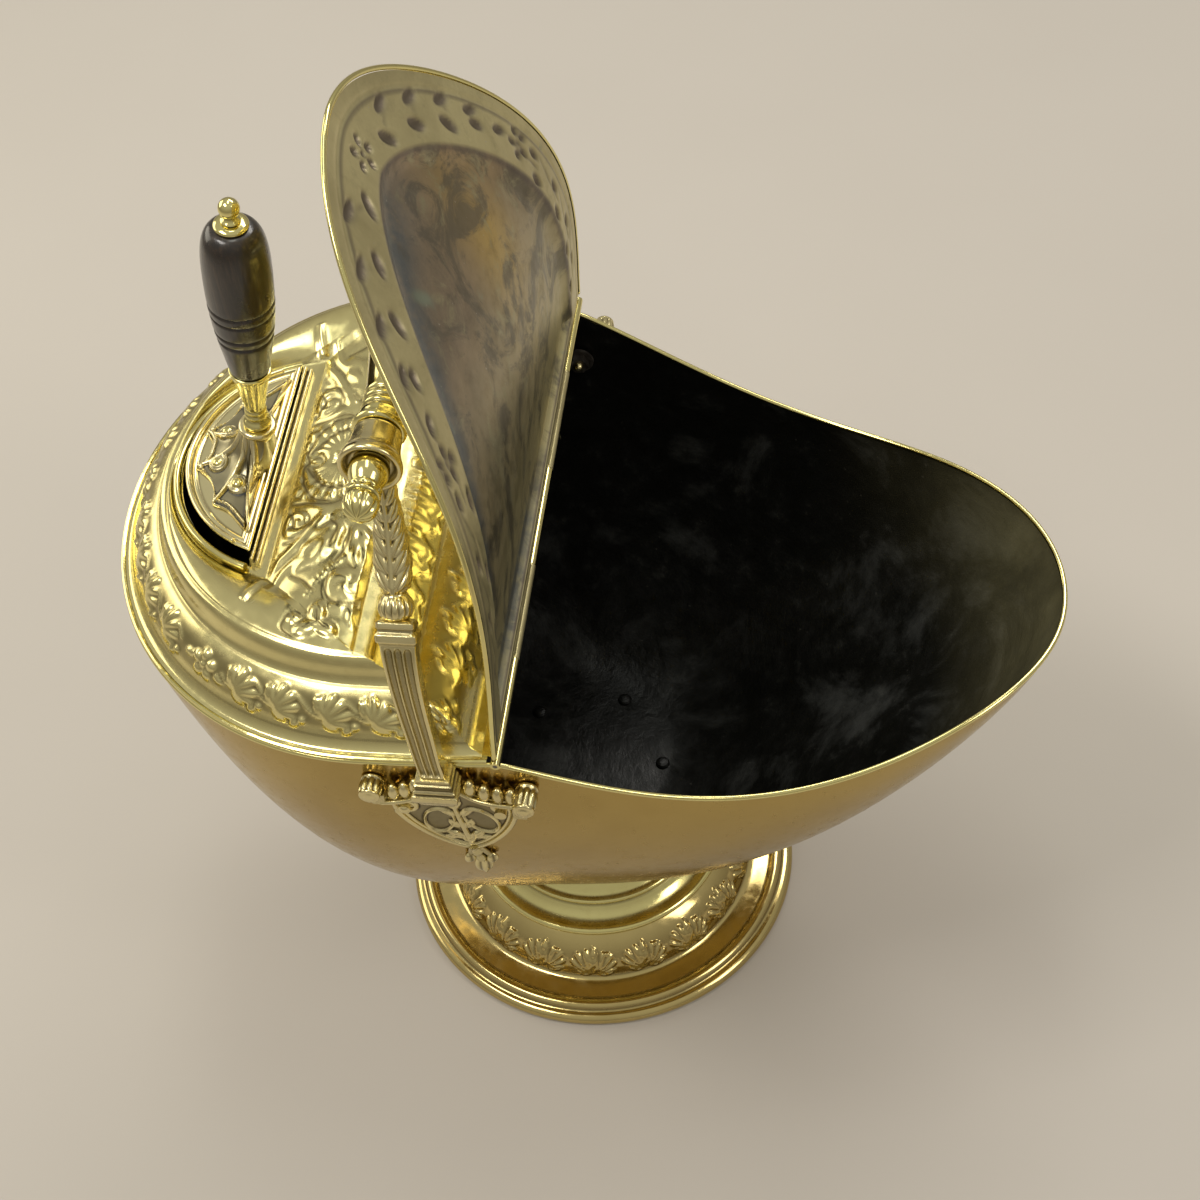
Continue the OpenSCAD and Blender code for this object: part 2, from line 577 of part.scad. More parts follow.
module lid_hinge_knuckles() {
  color(brass_dark) place() for (i = [1, 3]) translate([hinge_x, knuckle_y[i] + 0.15, hinge_z])
    rotate([0, -lid_open, 0]) rotate([-90, 0, 0]) difference() {
      union() {
        cylinder(r = knuckle_r, h = knuckle_y[i + 1] - knuckle_y[i] - 0.3, $fn = 48);
        translate([0, 0.6, 1]) cube([10, 1, knuckle_y[i + 1] - knuckle_y[i] - 2.3]);
      }
      translate([0, 0, -1]) cylinder(r = pin_r + gap, h = 80, $fn = 48);
    }
}

// ---------- scoop ----------

scoop_x = slot_x - 6.6;
plate_z = slot_z + 6.8;

module d_shape(r, chord) {
  intersection() {
    translate([slot_x + slot_off, 0]) circle(r = r, $fn = 120);
    translate([slot_x - 80, -80]) square([80 + chord, 160]);
  }
}

module scoop_trough() {
  h = trough_len;
  color(brass_dark) place() difference() {
    intersection() {
      translate([slot_x, 0, plate_z - 0.05]) rotate([0, -trough_lean, 0]) translate([-slot_x, 0, -h - 12])
        linear_extrude(h + 30) difference() {
          d_shape(trough_r, -1.8);
          d_shape(trough_r - 1.2, 5);
        }
      // rounded nose, seen from the open side
      translate([slot_x - 100, 0, plate_z - 0.05]) rotate([90, 0, 90]) linear_extrude(140)
        union() {
          translate([-70, -h + 62]) square([140, h - 62]);
          translate([0, -h + 62]) circle(r = 62, $fn = 96);
        }
    }
    translate([slot_x - 100, -100, plate_z - 0.05]) cube([200, 200, 40]);
  }
}

module scoop_back_plate() {
  color(brass) place() translate([0, 0, plate_z]) linear_extrude(1.2) d_shape(trough_r, -1.8);
}

module scoop_edge_bead() {
  a = acos((slot_off + 1.8 + 1.6) / (trough_r - 1.6));
  color(brass) place() {
    translate([slot_x + slot_off, 0, plate_z + 2.85]) rotate([0, 0, 180 - a])
      rotate_extrude(angle = 2 * a) translate([trough_r - 1.6, 0]) circle(r = 1.6, $fn = 32);
  }
}

module on_plate() {
  place() translate([scoop_x, 0, plate_z + 1.25]) children();
}

module on_handle() {
  on_plate() rotate([0, handle_lean, 0]) children();
}

// tips of one side of the wing, and where its rivets sit
wing_tips = [[5.6, -53.8], [-17, -35.5], [-31, -12]];
rivet_at = [[-6, -23.6], [-19, -10.5], [-19, 10.5], [-6, 23.6]];

module bat_wing() {
  half = [wing_tips[0], [-0.4, -45.4], [-7.6, -38.8], wing_tips[1], [-18.6, -28], [-23.4, -19],
    wing_tips[2], [-27.6, -5]];
  polygon(concat(half, [for (i = [len(half) - 1 : -1 : 0]) [half[i][0], -half[i][1]]]));
}

module scoop_handle_casting() {
  color(brass_dark) place() translate([scoop_x, 0, plate_z + 1.25]) difference() {
    union() {
      linear_extrude(2.4) bat_wing();
      rotate_extrude($fn = 64)
        polygon([[0, 1], [14.6, 1], [14.6, 2.8], [12.2, 4.2], [10.4, 6.6], [9.2, 10], [0, 10]]);
      rotate([0, handle_lean, 0]) rotate_extrude($fn = 64) polygon([[0, 6.6], [4.6, 6.6], [8.6, 8.4],
        [8.2, 11], [7.4, 17.6], [7.8, 19], [9, 19.6], [9.6, 21], [9, 22.4], [7.6, 23], [0, 23]]);
      // ribs that run out to the tips
      for (t = wing_tips, s = [-1, 1]) rotate([0, 0, atan2(s * t[1], t[0])])
        translate([6, -0.9, 0.4]) cube([norm(t) - 11, 1.8, 3.2]);
      for (q = rivet_at) translate([q[0], q[1], 2]) cylinder(r = 4.4, h = 1.9, $fn = 40);
    }
    rotate([0, handle_lean, 0]) translate([0, 0, 12]) cylinder(r = 3.52, h = 20, $fn = 48);
    for (q = rivet_at) translate([q[0], q[1], -1]) cylinder(r = 1.92, h = 6, $fn = 32);
  }
}

module casting_rivets() {
  color(brass) place() translate([scoop_x, 0, plate_z + 1.25])
    for (q = rivet_at) translate([q[0], q[1], 0.02]) {
      cylinder(r = 1.9, h = 4.2, $fn = 32);
      translate([0, 0, 3.92]) rotate_extrude($fn = 40)
        polygon([[0, 0], [3.2, 0], [3, 1], [2, 1.9], [0, 2.3]]);
    }
}

module scoop_ferrule() {
  color(brass) on_handle() difference() {
    rotate_extrude($fn = 64) polygon([
      [0, 23.05], [5.4, 23.05], [6.6, 24.4], [6.8, 26], [5.6, 27.6], [5, 29.4], [5.4, 30.4], [5.4, 31.6],
      [5, 32.6], [5.4, 33.6], [5.4, 34.8], [5, 36], [5.4, 38], [6.2, 43], [7.4, 50], [9, 57.6], [10, 61.4],
      [10.2, 63], [0, 63]]);
    translate([0, 0, 20]) cylinder(r = 3.52, h = 50, $fn = 48);
  }
}

module scoop_tang() {
  color(steel) on_handle() {
    translate([0, 0, 12.1]) cylinder(r = 3.5, h = 137.9, $fn = 48);
    translate([0, 0, 149]) cylinder(r = 2, h = 10.8, $fn = 48);
  }
}

module scoop_wood_handle() {
  k = wood_r / 16;
  color(ebony) on_handle() difference() {
    rotate_extrude($fn = 72) polygon([
      [0, 63.05], [9.8 * k, 63.05], [10.6 * k, 68], [12.8 * k, 81], [13.4 * k, 86], [12.9 * k, 86.8],
      [13.7 * k, 87.6], [14.2 * k, 91], [13.7 * k, 91.8], [14.5 * k, 92.6], [15.3 * k, 101.6],
      [14.8 * k, 102.4], [15.5 * k, 103.2], [15.7 * k, 107], [15.2 * k, 107.8], [15.8 * k, 108.6],
      [16 * k, 118], [16.1 * k, 127], [15.9 * k, 135], [15.2 * k, 142], [13.8 * k, 147.4], [11.6 * k, 151],
      [8.8 * k, 153], [0, 153]]);
    translate([0, 0, 60]) cylinder(r = 3.52, h = 90.05, $fn = 48);
    translate([0, 0, 148]) cylinder(r = 2.02, h = 10, $fn = 48);
  }
}

module handle_washer() {
  color(brass) on_handle() difference() {
    rotate_extrude($fn = 64) polygon([[0, 153.05], [8.2, 153.05], [8, 154.2], [6, 155.4], [0, 155.8]]);
    translate([0, 0, 150]) cylinder(r = 2.02, h = 10, $fn = 48);
  }
}

module handle_ball_knob() {
  color(brass) on_handle() difference() {
    union() {
      rotate_extrude($fn = 64)
        polygon([[0, 155.85], [4.8, 155.85], [4.6, 157], [3.2, 158.4], [3.4, 160], [0, 160]]);
      translate([0, 0, 163]) sphere(r = 5, $fn = 64);
    }
    translate([0, 0, 150]) cylinder(r = 2.02, h = 9.9, $fn = 48);
  }
}

// ---------- drawing ----------

bowl();
bowl_rim_bead();
foot();
foot_neck();
foot_rivets();
back_cover();
cover_edge_bead();
slot_rim();
slot_front_bar();
fixed_hinge_knuckles();
hinge_pin();
near_bracket();
far_bracket();
bracket_screws();
bracket_nuts();
near_handle_arm();
far_handle_arm();
handle_grip();
grip_rod();
grip_end_nuts();
lid_panel();
lid_edge_bead();
lid_hinge_knuckles();
scoop_trough();
scoop_back_plate();
scoop_edge_bead();
scoop_handle_casting();
casting_rivets();
scoop_ferrule();
scoop_tang();
scoop_wood_handle();
handle_washer();
handle_ball_knob();
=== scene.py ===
"""Footed brass coal scuttle with a hinged lid, a fixed carrying handle and a hand scoop."""
import math

import bpy
import numpy as np
from mathutils import Matrix, Vector

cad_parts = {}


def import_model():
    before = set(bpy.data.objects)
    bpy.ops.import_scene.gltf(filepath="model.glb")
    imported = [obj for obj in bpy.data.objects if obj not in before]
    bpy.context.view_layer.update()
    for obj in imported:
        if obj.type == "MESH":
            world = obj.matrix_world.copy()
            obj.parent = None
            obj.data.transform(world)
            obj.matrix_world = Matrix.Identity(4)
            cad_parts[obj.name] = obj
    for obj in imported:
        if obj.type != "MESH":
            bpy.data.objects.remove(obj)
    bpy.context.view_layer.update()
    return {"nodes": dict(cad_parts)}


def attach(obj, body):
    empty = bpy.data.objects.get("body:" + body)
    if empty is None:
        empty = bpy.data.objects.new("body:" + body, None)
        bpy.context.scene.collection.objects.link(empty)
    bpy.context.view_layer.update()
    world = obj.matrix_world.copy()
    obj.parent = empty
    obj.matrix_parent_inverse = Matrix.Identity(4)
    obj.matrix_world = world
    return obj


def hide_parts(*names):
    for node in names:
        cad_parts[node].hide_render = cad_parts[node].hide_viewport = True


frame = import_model()

# Points below are in millimetres with the origin on the foot's axis;
# the row frame's origin lies SHIFT further towards the lip.
SHIFT = 16.9


def row(p):
    """A point in working millimetres as a point in the row frame, in metres."""
    return (np.asarray(p, float) - np.array([SHIFT, 0.0, 0.0])) / 1000.0


def into_scene(name, data):
    """A new object with these data, linked into the scene."""
    ob = bpy.data.objects.new(name, data)
    bpy.context.scene.collection.objects.link(ob)
    return ob


# ---------------------------------------------------------------- camera, solved from the photograph
CAM = np.array([159.05, -668.51, 1125.45])
CAM_D = np.array([-0.12862618, 0.59970848, -0.7898133])
CAM_R = np.array([0.99039459, 0.11842632, -0.07137055])
CAM_U = np.array([-0.05073316, 0.79140694, 0.60918076])
CAM_F = 2058.27
CAM_PY = 621.01
PICTURE, SENSOR = 1200.0, 36.0


def add_camera():
    """The camera that took the photograph."""
    data = bpy.data.cameras.new("camera")
    data.sensor_width = SENSOR
    data.lens = CAM_F / PICTURE * SENSOR
    data.shift_y = (CAM_PY - PICTURE / 2) / PICTURE
    data.clip_start = 0.05
    m = Matrix([[*CAM_R, 0], [*CAM_U, 0], [*-CAM_D, 0], [0, 0, 0, 1]]).transposed()
    m.translation = Vector(row(CAM))
    cam = into_scene("camera", data)
    cam.matrix_world = m
    bpy.context.scene.camera = cam


add_camera()

# ---------------------------------------------------------------- numbers and lines


def unit(x):
    """x held between 0 and 1."""
    return np.clip(x, 0, 1)


def bell(x, width):
    """A smooth bump of height 1 and this width, at 0."""
    return np.exp(-(x / width) ** 2)


def turns(n):
    """n angles round a full turn."""
    return np.arange(n) * 2 * np.pi / n


def pw(v, e):
    """A power that keeps the sign."""
    return np.sign(v) * np.abs(v) ** e


def unit_rows(v):
    """Every row scaled to length 1."""
    return v / np.maximum(np.linalg.norm(v, axis=-1, keepdims=True), 1e-9)


def along(p):
    """Distance of each point of a line from its first point, measured along it."""
    return np.concatenate([[0], np.cumsum(np.linalg.norm(np.diff(p, axis=0), axis=1))])


def at_distances(t, s, p):
    """Points at distances t of a line whose points p lie at distances s."""
    return np.stack([np.interp(t, s, p[:, k]) for k in range(p.shape[1])], 1)


def resample(p, step):
    """The same line with points at even distances."""
    p = np.asarray(p, float)
    s = along(p)
    return at_distances(np.linspace(0, s[-1], max(8, int(s[-1] / step))), s, p)


def chaikin(pts, n=2):
    """Corner cutting: soft edges on a turned or swept outline."""
    p = np.asarray(pts, float)
    for _ in range(n):
        a, b = p[:-1], p[1:]
        q = np.empty((2 * len(a), p.shape[1]))
        q[0::2] = 0.75 * a + 0.25 * b
        q[1::2] = 0.25 * a + 0.75 * b
        p = np.vstack([p[:1], q, p[-1:]])
    return p


def spline(ctrl, n):
    """Catmull-Rom curve through control points, as n points."""
    c = np.asarray(ctrl, float)
    c = np.vstack([2 * c[0] - c[1], c, 2 * c[-1] - c[-2]])
    seg = len(c) - 3
    t = np.linspace(0, seg, n)
    i = np.minimum(t.astype(int), seg - 1)
    u = (t - i)[:, None]
    a, b, d, e = c[i], c[i + 1], c[i + 2], c[i + 3]
    return 0.5 * (2 * b + (d - a) * u + (2 * a - 5 * b + 4 * d - e) * u ** 2
                  + (3 * b - a - 3 * d + e) * u ** 3)


def eased(p, passes):
    """A list of numbers or points, smoothed with its ends kept."""
    p = p.copy()
    for _ in range(passes):
        p[1:-1] = 0.25 * p[:-2] + 0.5 * p[1:-1] + 0.25 * p[2:]
    return p


def blur(h, k, wrap_u=False):
    """Mean over a neighbourhood of a grid, k passes."""
    for _ in range(k):
        for ax, wrap in ((0, False), (1, wrap_u)):
            a, b = np.roll(h, 1, ax), np.roll(h, -1, ax)
            if not wrap:
                if ax == 0:
                    a[0], b[-1] = h[0], h[-1]
                else:
                    a[:, 0], b[:, -1] = h[:, 0], h[:, -1]
            h = 0.25 * a + 0.5 * h + 0.25 * b
    return h


def hollows(H, passes, gain, wrap_u=False):
    """How far each point lies below its surroundings, 0 to 1: the hollows that are coloured darker."""
    return unit((blur(H, passes, wrap_u) - H) * gain)


# ---------------------------------------------------------------- meshes


def mesh_piece(name, verts, faces, mats, body, node, face_mat=None, attrs=None, sharp=None):
    """A piece in place of a solid, from points in millimetres; attrs are per-point numbers."""
    me = bpy.data.meshes.new(name)
    v = row(np.asarray(verts, float).reshape(-1, 3))
    me.vertices.add(len(v))
    me.vertices.foreach_set("co", v.astype(np.float32).ravel())
    faces = faces if isinstance(faces, list) else [faces]
    loops = np.concatenate([f.ravel() for f in faces])
    sizes = np.concatenate([np.full(len(f), f.shape[1]) for f in faces])
    me.loops.add(len(loops))
    me.loops.foreach_set("vertex_index", loops.astype(np.int32))
    me.polygons.add(len(sizes))
    starts = np.concatenate([[0], np.cumsum(sizes)[:-1]])
    me.polygons.foreach_set("loop_start", starts.astype(np.int32))
    me.polygons.foreach_set("loop_total", sizes.astype(np.int32))
    me.update(calc_edges=True)
    for m in mats if isinstance(mats, list) else [mats]:
        me.materials.append(m)
    if face_mat is not None:
        me.polygons.foreach_set("material_index", face_mat.astype(np.int32))
    for key, val in (attrs or {}).items():
        a = me.attributes.new(key, "FLOAT", "POINT")
        a.data.foreach_set("value", np.asarray(val, np.float32).ravel())
    me.polygons.foreach_set("use_smooth", np.full(len(sizes), True))
    me.validate()
    if sharp:
        me.set_sharp_from_angle(angle=math.radians(sharp))
    ob = into_scene(name, me)
    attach(ob, body)
    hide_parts(node)


def grid_faces(nv, nu, wrap_u=False, wrap_v=False, flip=False, base=0):
    """Four-sided faces over nv rows of nu points each."""
    j = np.arange(nv if wrap_v else nv - 1)
    i = np.arange(nu if wrap_u else nu - 1)
    jj, ii = np.meshgrid(j, i, indexing="ij")
    a = jj * nu + ii
    b = jj * nu + (ii + 1) % nu
    c = ((jj + 1) % nv) * nu + (ii + 1) % nu
    d = ((jj + 1) % nv) * nu + ii
    q = np.stack([a, b, c, d], -1).reshape(-1, 4) + base
    return q[:, ::-1] if flip else q


def grid_normals(P):
    """Normals of a grid that wraps along u."""
    return unit_rows(np.cross(np.roll(P, -1, 1) - np.roll(P, 1, 1), np.gradient(P, axis=0)))


def round_grid(p, a):
    """An outline of (radius, height) points turned about the foot's axis."""
    return np.stack([p[:, :1] * np.cos(a), p[:, :1] * np.sin(a), p[:, 1:2] + 0 * a], -1)


def sheet_piece(name, top, under, mats, slot, node, attrs, body="scuttle", capped=None,
                order=(0, 0), sharp=60):
    """A closed sheet from two grids of one size that wrap along u.

    Each end has a wall between the two grids, but the one named by capped ("first" or "last")
    has a cap on each grid. attrs holds (top, under) values and order their material numbers.
    """
    nv, nu = top.shape[:2]
    i = np.arange(nu)
    k = (i + 1) % nu
    o, e = nv * nu, (nv - 1) * nu
    walls = {"first": np.stack([k, i, o + i, o + k], -1),
             "last": np.stack([e + i, e + k, o + e + k, o + e + i], -1)}
    caps = {"first": [i[None, ::-1], o + i[None]], "last": [e + i[None], o + e + i[None, ::-1]]}
    faces = [grid_faces(nv, nu, wrap_u=True), grid_faces(nv, nu, wrap_u=True, flip=True, base=o)]
    faces += [w for end, w in walls.items() if end != capped] + caps.get(capped, [])
    number = [*order, order[0], *(order if capped else order[:1])]
    fm = np.concatenate([np.full(len(f), m) for f, m in zip(faces, number)])
    at = {q: np.concatenate([np.ravel(t), np.ravel(u)]) for q, (t, u) in attrs.items()}
    mesh_piece(name, np.concatenate([top.reshape(-1, 3), under.reshape(-1, 3)]), faces, mats, body,
               node, face_mat=fm, attrs=at, sharp=sharp)


def tube_parts(path, radius, sides=12, closed=False, up=(0, 0, 1)):
    """Points and faces of a round wire along a path, capped if it isn't closed."""
    p = np.asarray(path, float)
    t = np.roll(p, -1, 0) - np.roll(p, 1, 0) if closed else np.gradient(p, axis=0)
    t /= np.linalg.norm(t, axis=1, keepdims=True)
    e1 = np.cross(t, np.asarray(up, float))
    bad = np.linalg.norm(e1, axis=1) < 1e-4
    e1[bad] = np.cross(t[bad], [1.0, 0, 0])
    e1 /= np.linalg.norm(e1, axis=1, keepdims=True)
    a, e2 = turns(sides), np.cross(e1, t)
    r = np.broadcast_to(np.asarray(radius, float), (len(p),))
    G = p[:, None] + r[:, None, None] * (np.cos(a)[None, :, None] * e1[:, None]
                                         + np.sin(a)[None, :, None] * e2[:, None])
    m, n = G.shape[:2]
    faces = [grid_faces(m, n, wrap_u=True, wrap_v=closed, flip=True)]
    if not closed:
        faces.append(np.array([np.arange(n), (m - 1) * n + np.arange(n)[::-1]]))
    return G.reshape(-1, 3), faces


# ---------------------------------------------------------------- materials


class Nodes:
    """Builds one node tree, a step at a time."""

    def __init__(self, tree):
        self.tree = tree

    def put(self, value, socket):
        """A colour or number goes on the socket itself, anything else is linked to it."""
        if isinstance(value, tuple):
            socket.default_value = (*value, 1.0)
        elif isinstance(value, float):
            socket.default_value = value
        else:
            self.tree.links.new(value, socket)

    def new(self, kind, **values):
        n = self.tree.nodes.new("ShaderNode" + kind)
        for key, v in values.items():
            self.put(v, n.inputs[key.replace("_", " ")])
        return n

    def noise(self, scale, detail=4.0, rough=0.55, distortion=0.0, stretch=None):
        src = self.new("TexCoord").outputs["Object"]
        if stretch is not None:
            mp = self.new("Mapping", Vector=src)
            mp.inputs["Scale"].default_value = stretch
            src = mp.outputs["Vector"]
        return self.new("TexNoise", Scale=scale, Detail=detail, Roughness=rough,
                        Distortion=distortion, Vector=src).outputs["Fac"]

    def ramp(self, src, lo, hi, to_lo=0.0, to_hi=1.0):
        n = self.new("MapRange", From_Min=lo, From_Max=hi, To_Min=to_lo, To_Max=to_hi, Value=src)
        n.interpolation_type = "SMOOTHSTEP"
        return n.outputs["Result"]

    def math(self, op, a, b):
        """Result held between 0 and 1."""
        n = self.new("Math")
        n.operation = op
        n.use_clamp = True
        self.put(a, n.inputs[0])
        self.put(b, n.inputs[1])
        return n.outputs[0]

    def times(self, a, b):
        return self.math("MULTIPLY", a, b)

    def mix(self, fac, a, b):
        n = self.new("Mix")
        n.data_type = "RGBA"
        for k, v in ((0, fac), (6, a), (7, b)):
            self.put(v, n.inputs[k])
        return n.outputs[2]

    def attr(self, name):
        n = self.new("Attribute")
        n.attribute_name = name
        return n.outputs["Fac"]


class Surface(Nodes):
    """A material on one Principled shader."""

    def __init__(self, name, **values):
        self.mat = bpy.data.materials.new(name)
        self.mat.use_nodes = True
        super().__init__(self.mat.node_tree)
        self.set(**values)

    def set(self, **values):
        for key, v in values.items():
            self.put(v, self.tree.nodes["Principled BSDF"].inputs[key.replace("_", " ")])

    def finish(self, *heights):
        """Chain of bumps from (height, distance in metres) pairs; gives back the material."""
        last = None
        for height, distance in heights:
            b = self.new("Bump", Distance=distance, Height=height)
            if last:
                self.put(last, b.inputs["Normal"])
            last = b.outputs["Normal"]
        self.set(Normal=last)
        return self.mat


def brass(name, base, shade, hollow, rough=(0.10, 0.24), mottle=0.35, wave=0.0004):
    """Rubbed brass in two tones, with dull dark hollows; wave is the sheet's unevenness in metres."""
    s = Surface(name, Metallic=1.0)
    broad = s.noise(14.0, 5.0, 0.6)
    fine = s.noise(160.0, 6.0, 0.62)
    streak = s.noise(60.0, 4.0, 0.6, stretch=(1.0, 1.0, 14.0))
    c = s.mix(s.ramp(broad, 0.38, 0.72, 0.0, mottle), base, shade)
    c = s.mix(s.ramp(fine, 0.55, 0.85, 0.0, 0.35), c, shade)
    cav = s.times(s.attr("cav"), 1.0)
    s.set(Base_Color=s.mix(cav, c, hollow))
    r = s.ramp(fine, 0.35, 0.75, *rough)
    s.set(Roughness=s.math("ADD", r, s.times(cav, 0.25)))
    return s.finish((s.noise(22.0, 3.0, 0.5), wave), (streak, 0.00002), (fine, 0.00001))


BRASS = (0.80, 0.72, 0.31)
CAV = (0.12, 0.08, 0.03)
m_brass = brass("polished_brass_sheet", BRASS, (0.56, 0.46, 0.17), CAV)
# The bowl's outside is a darker, browner copy of the brass: a brown carpet's reflection painted into its
# colour.
m_side_painted_reflection = brass("bowl_side_brass_painted_reflection", (0.49, 0.355, 0.115), (0.37, 0.255, 0.075), CAV,
               rough=(0.16, 0.30), mottle=0.5, wave=0.0003)
m_emboss = brass("embossed_brass_sheet", (0.81, 0.72, 0.34), (0.56, 0.47, 0.19),
                 (0.12, 0.085, 0.035), rough=(0.15, 0.28))
m_back = brass("lid_outside_brass", (0.94, 0.81, 0.32), (0.74, 0.60, 0.22), (0.15, 0.10, 0.035),
               rough=(0.12, 0.24))
m_cast = brass("cast_brass_dark_recesses", (0.78, 0.68, 0.36), (0.50, 0.40, 0.19),
               (0.075, 0.055, 0.028), rough=(0.14, 0.30), wave=0.0001)
# The foot is a darker copy of the brass: a brown carpet's reflection painted into its colour.
m_foot_painted_reflection = brass("foot_brass_painted_reflection", (0.60, 0.48, 0.20), (0.42, 0.32, 0.13), CAV, rough=(0.10, 0.22),
               mottle=0.4, wave=0.0002)
m_wing = brass("scoop_wing_brass", (0.84, 0.74, 0.42), (0.50, 0.40, 0.20), (0.045, 0.048, 0.052),
               rough=(0.14, 0.30), wave=0.0001)
m_plate = brass("scoop_plate_brass", (0.93, 0.83, 0.46), (0.74, 0.62, 0.27), CAV,
                rough=(0.07, 0.15), mottle=0.3, wave=0.0003)
m_turned = brass("turned_brass", BRASS, (0.62, 0.48, 0.19), CAV, rough=(0.08, 0.18), wave=0.00005)


def japan():
    """Black japan inside the bowl, dusty in patches, lighter and browner towards the lip."""
    s = Surface("black_japan", Specular_IOR_Level=0.33)
    broad = s.noise(16.0, 7.0, 0.62, 0.4)
    fine = s.noise(70.0, 6.0, 0.65)
    spots = s.noise(300.0, 3.0, 0.5)
    c = s.mix(s.ramp(broad, 0.50, 0.68, 0.0, 0.9), (0.004, 0.004, 0.003), (0.042, 0.043, 0.040))
    c = s.mix(s.ramp(fine, 0.58, 0.85, 0.0, 0.5), c, (0.065, 0.065, 0.055))
    c = s.mix(s.ramp(spots, 0.70, 0.82, 0.0, 0.5), c, (0.09, 0.085, 0.07))
    # lighter and browner towards the lip and the top of the wall, in patches
    lighter_towards_lip = s.times(s.attr("lip"), s.ramp(broad, 0.3, 0.7, 0.45, 1.0))
    s.set(Base_Color=s.mix(lighter_towards_lip, c, (0.15, 0.135, 0.07)), Roughness=s.ramp(fine, 0.3, 0.8, 0.30, 0.55))
    return s.finish((broad, 0.0022), (fine, 0.00018), (spots, 0.00004))


def ebony():
    """Ebonised wood: nearly black, with a soft polish."""
    s = Surface("ebonised_wood", Coat_Weight=0.5, Coat_Roughness=0.1)
    grain = s.noise(90.0, 6.0, 0.6, stretch=(6.0, 6.0, 0.5))
    patch = s.noise(30.0, 4.0, 0.6)
    c = s.mix(s.ramp(grain, 0.40, 0.75), (0.016, 0.011, 0.008), (0.045, 0.028, 0.016))
    s.set(Base_Color=s.mix(s.ramp(patch, 0.55, 0.8, 0.0, 0.5), c, (0.075, 0.055, 0.035)),
          Roughness=s.ramp(patch, 0.3, 0.8, 0.22, 0.42))
    return s.finish((grain, 0.00012), (patch, 0.0002))


def iron():
    """Bare iron."""
    s = Surface("dull_iron", Metallic=0.9)
    n = s.noise(120.0, 6.0, 0.6)
    s.set(Base_Color=s.mix(s.ramp(n, 0.35, 0.7), (0.10, 0.085, 0.07), (0.23, 0.21, 0.18)),
          Roughness=s.ramp(n, 0.3, 0.7, 0.35, 0.6))
    return s.finish((n, 0.0001))


def lid_inside():
    """Handled brass: yellower on the border, grey-brown with verdigris on the field."""
    s = Surface("tarnished_lid_brass", Metallic=0.85)
    broad = s.noise(12.0, 6.0, 0.62, 0.5)
    fine = s.noise(90.0, 6.0, 0.65)
    spot = s.noise(60.0, 5.0, 0.6)
    border = s.mix(s.ramp(broad, 0.35, 0.7), (0.64, 0.57, 0.31), (0.46, 0.40, 0.21))
    field = s.mix(s.ramp(broad, 0.38, 0.66), (0.36, 0.28, 0.185), (0.23, 0.185, 0.13))
    ochre = s.times(s.attr("ochre"), s.ramp(broad, 0.3, 0.6, 0.5, 1.0))
    field = s.mix(ochre, field, (0.50, 0.35, 0.11))
    # painted light: the field lighter and yellower towards the hinge, against the shadow there
    field = s.mix(s.times(s.attr("low"), 0.75), field, (0.56, 0.50, 0.25))
    dark = s.ramp(s.noise(26.0, 8.0, 0.7, 1.2), 0.46, 0.60, 0.0, 0.75)
    field = s.mix(dark, field, (0.13, 0.118, 0.088))
    light = s.ramp(s.noise(48.0, 7.0, 0.7, 0.8), 0.54, 0.68, 0.0, 0.7)
    field = s.mix(light, field, (0.38, 0.35, 0.21))
    cool = s.times(s.attr("blue"), s.ramp(fine, 0.3, 0.6, 0.45, 0.95))
    field = s.mix(cool, field, (0.15, 0.165, 0.17))
    c = s.mix(s.attr("zone"), border, field)
    c = s.mix(s.ramp(fine, 0.5, 0.85, 0.0, 0.35), c, (0.10, 0.08, 0.06))
    green = s.times(s.ramp(spot, 0.62, 0.72), s.ramp(broad, 0.5, 0.62, 0.0, 0.55))
    c = s.mix(s.math("MAXIMUM", green, s.times(s.attr("dab"), 0.7)), c, (0.27, 0.33, 0.25))
    specks = s.ramp(s.noise(420.0, 2.0, 0.5), 0.74, 0.78, 0.0, 0.6)
    c = s.mix(specks, c, (0.50, 0.47, 0.42))
    c = s.mix(s.attr("cav"), c, (0.125, 0.098, 0.090))
    s.set(Base_Color=c, Roughness=s.ramp(fine, 0.3, 0.8, 0.34, 0.52))
    return s.finish((broad, 0.0008), (fine, 0.00006))


m_japan, m_ebony, m_iron, m_lid = japan(), ebony(), iron(), lid_inside()

# ---------------------------------------------------------------- plan of the bowl, as in the solids
HALF_W, WIDE_X, FRONT, REAR, RIM = 153.1, -76.5, 334.8, 148.0, 328.0
BOWL_Z, BOWL_R, SHEET = 112.4, 48.4, 1.4
NF, NR = 2.054, 2.022
HINGE_X, HINGE_Z = -8.6, 333.5
WIRE_R, UNDER_WIRE = 1.4, -1.2  # the rim's wire, and the sheet's edge below its centre
SPAN = WIDE_X + FRONT - HINGE_X


def saddle(dx):
    """Height of the rim's side view over the hinge, at dx in front of it."""
    u = np.maximum(0.0, dx / SPAN)
    return 120 * (-1.0304 * u - 1.0339 * u ** 2 + 4.1041 * u ** 3 - 2.3821 * u ** 4)


def plan(a, off=0.0):
    """The rim seen from above, two half superellipses; off moves it outwards."""
    c, s = np.cos(a), np.sin(a)
    c = np.where(np.abs(c) < 1e-9, 0.0, c)
    front = c >= 0
    x = WIDE_X + np.where(front, (FRONT + off) * pw(c, 2 / NF), (REAR + off) * pw(c, 2 / NR))
    y = np.where(front, (HALF_W + off) * pw(s, 2 / NF), (HALF_W + off) * pw(s, 2 / NR))
    return x, y


def rim_at(x):
    """Height of the rim at x."""
    return RIM + saddle(x - HINGE_X)


def half_at(x):
    """Half of the bowl's width at x, in front of its widest place."""
    return HALF_W * (1 - (np.maximum(0.0, x - WIDE_X) / FRONT) ** NF) ** (1 / NF)


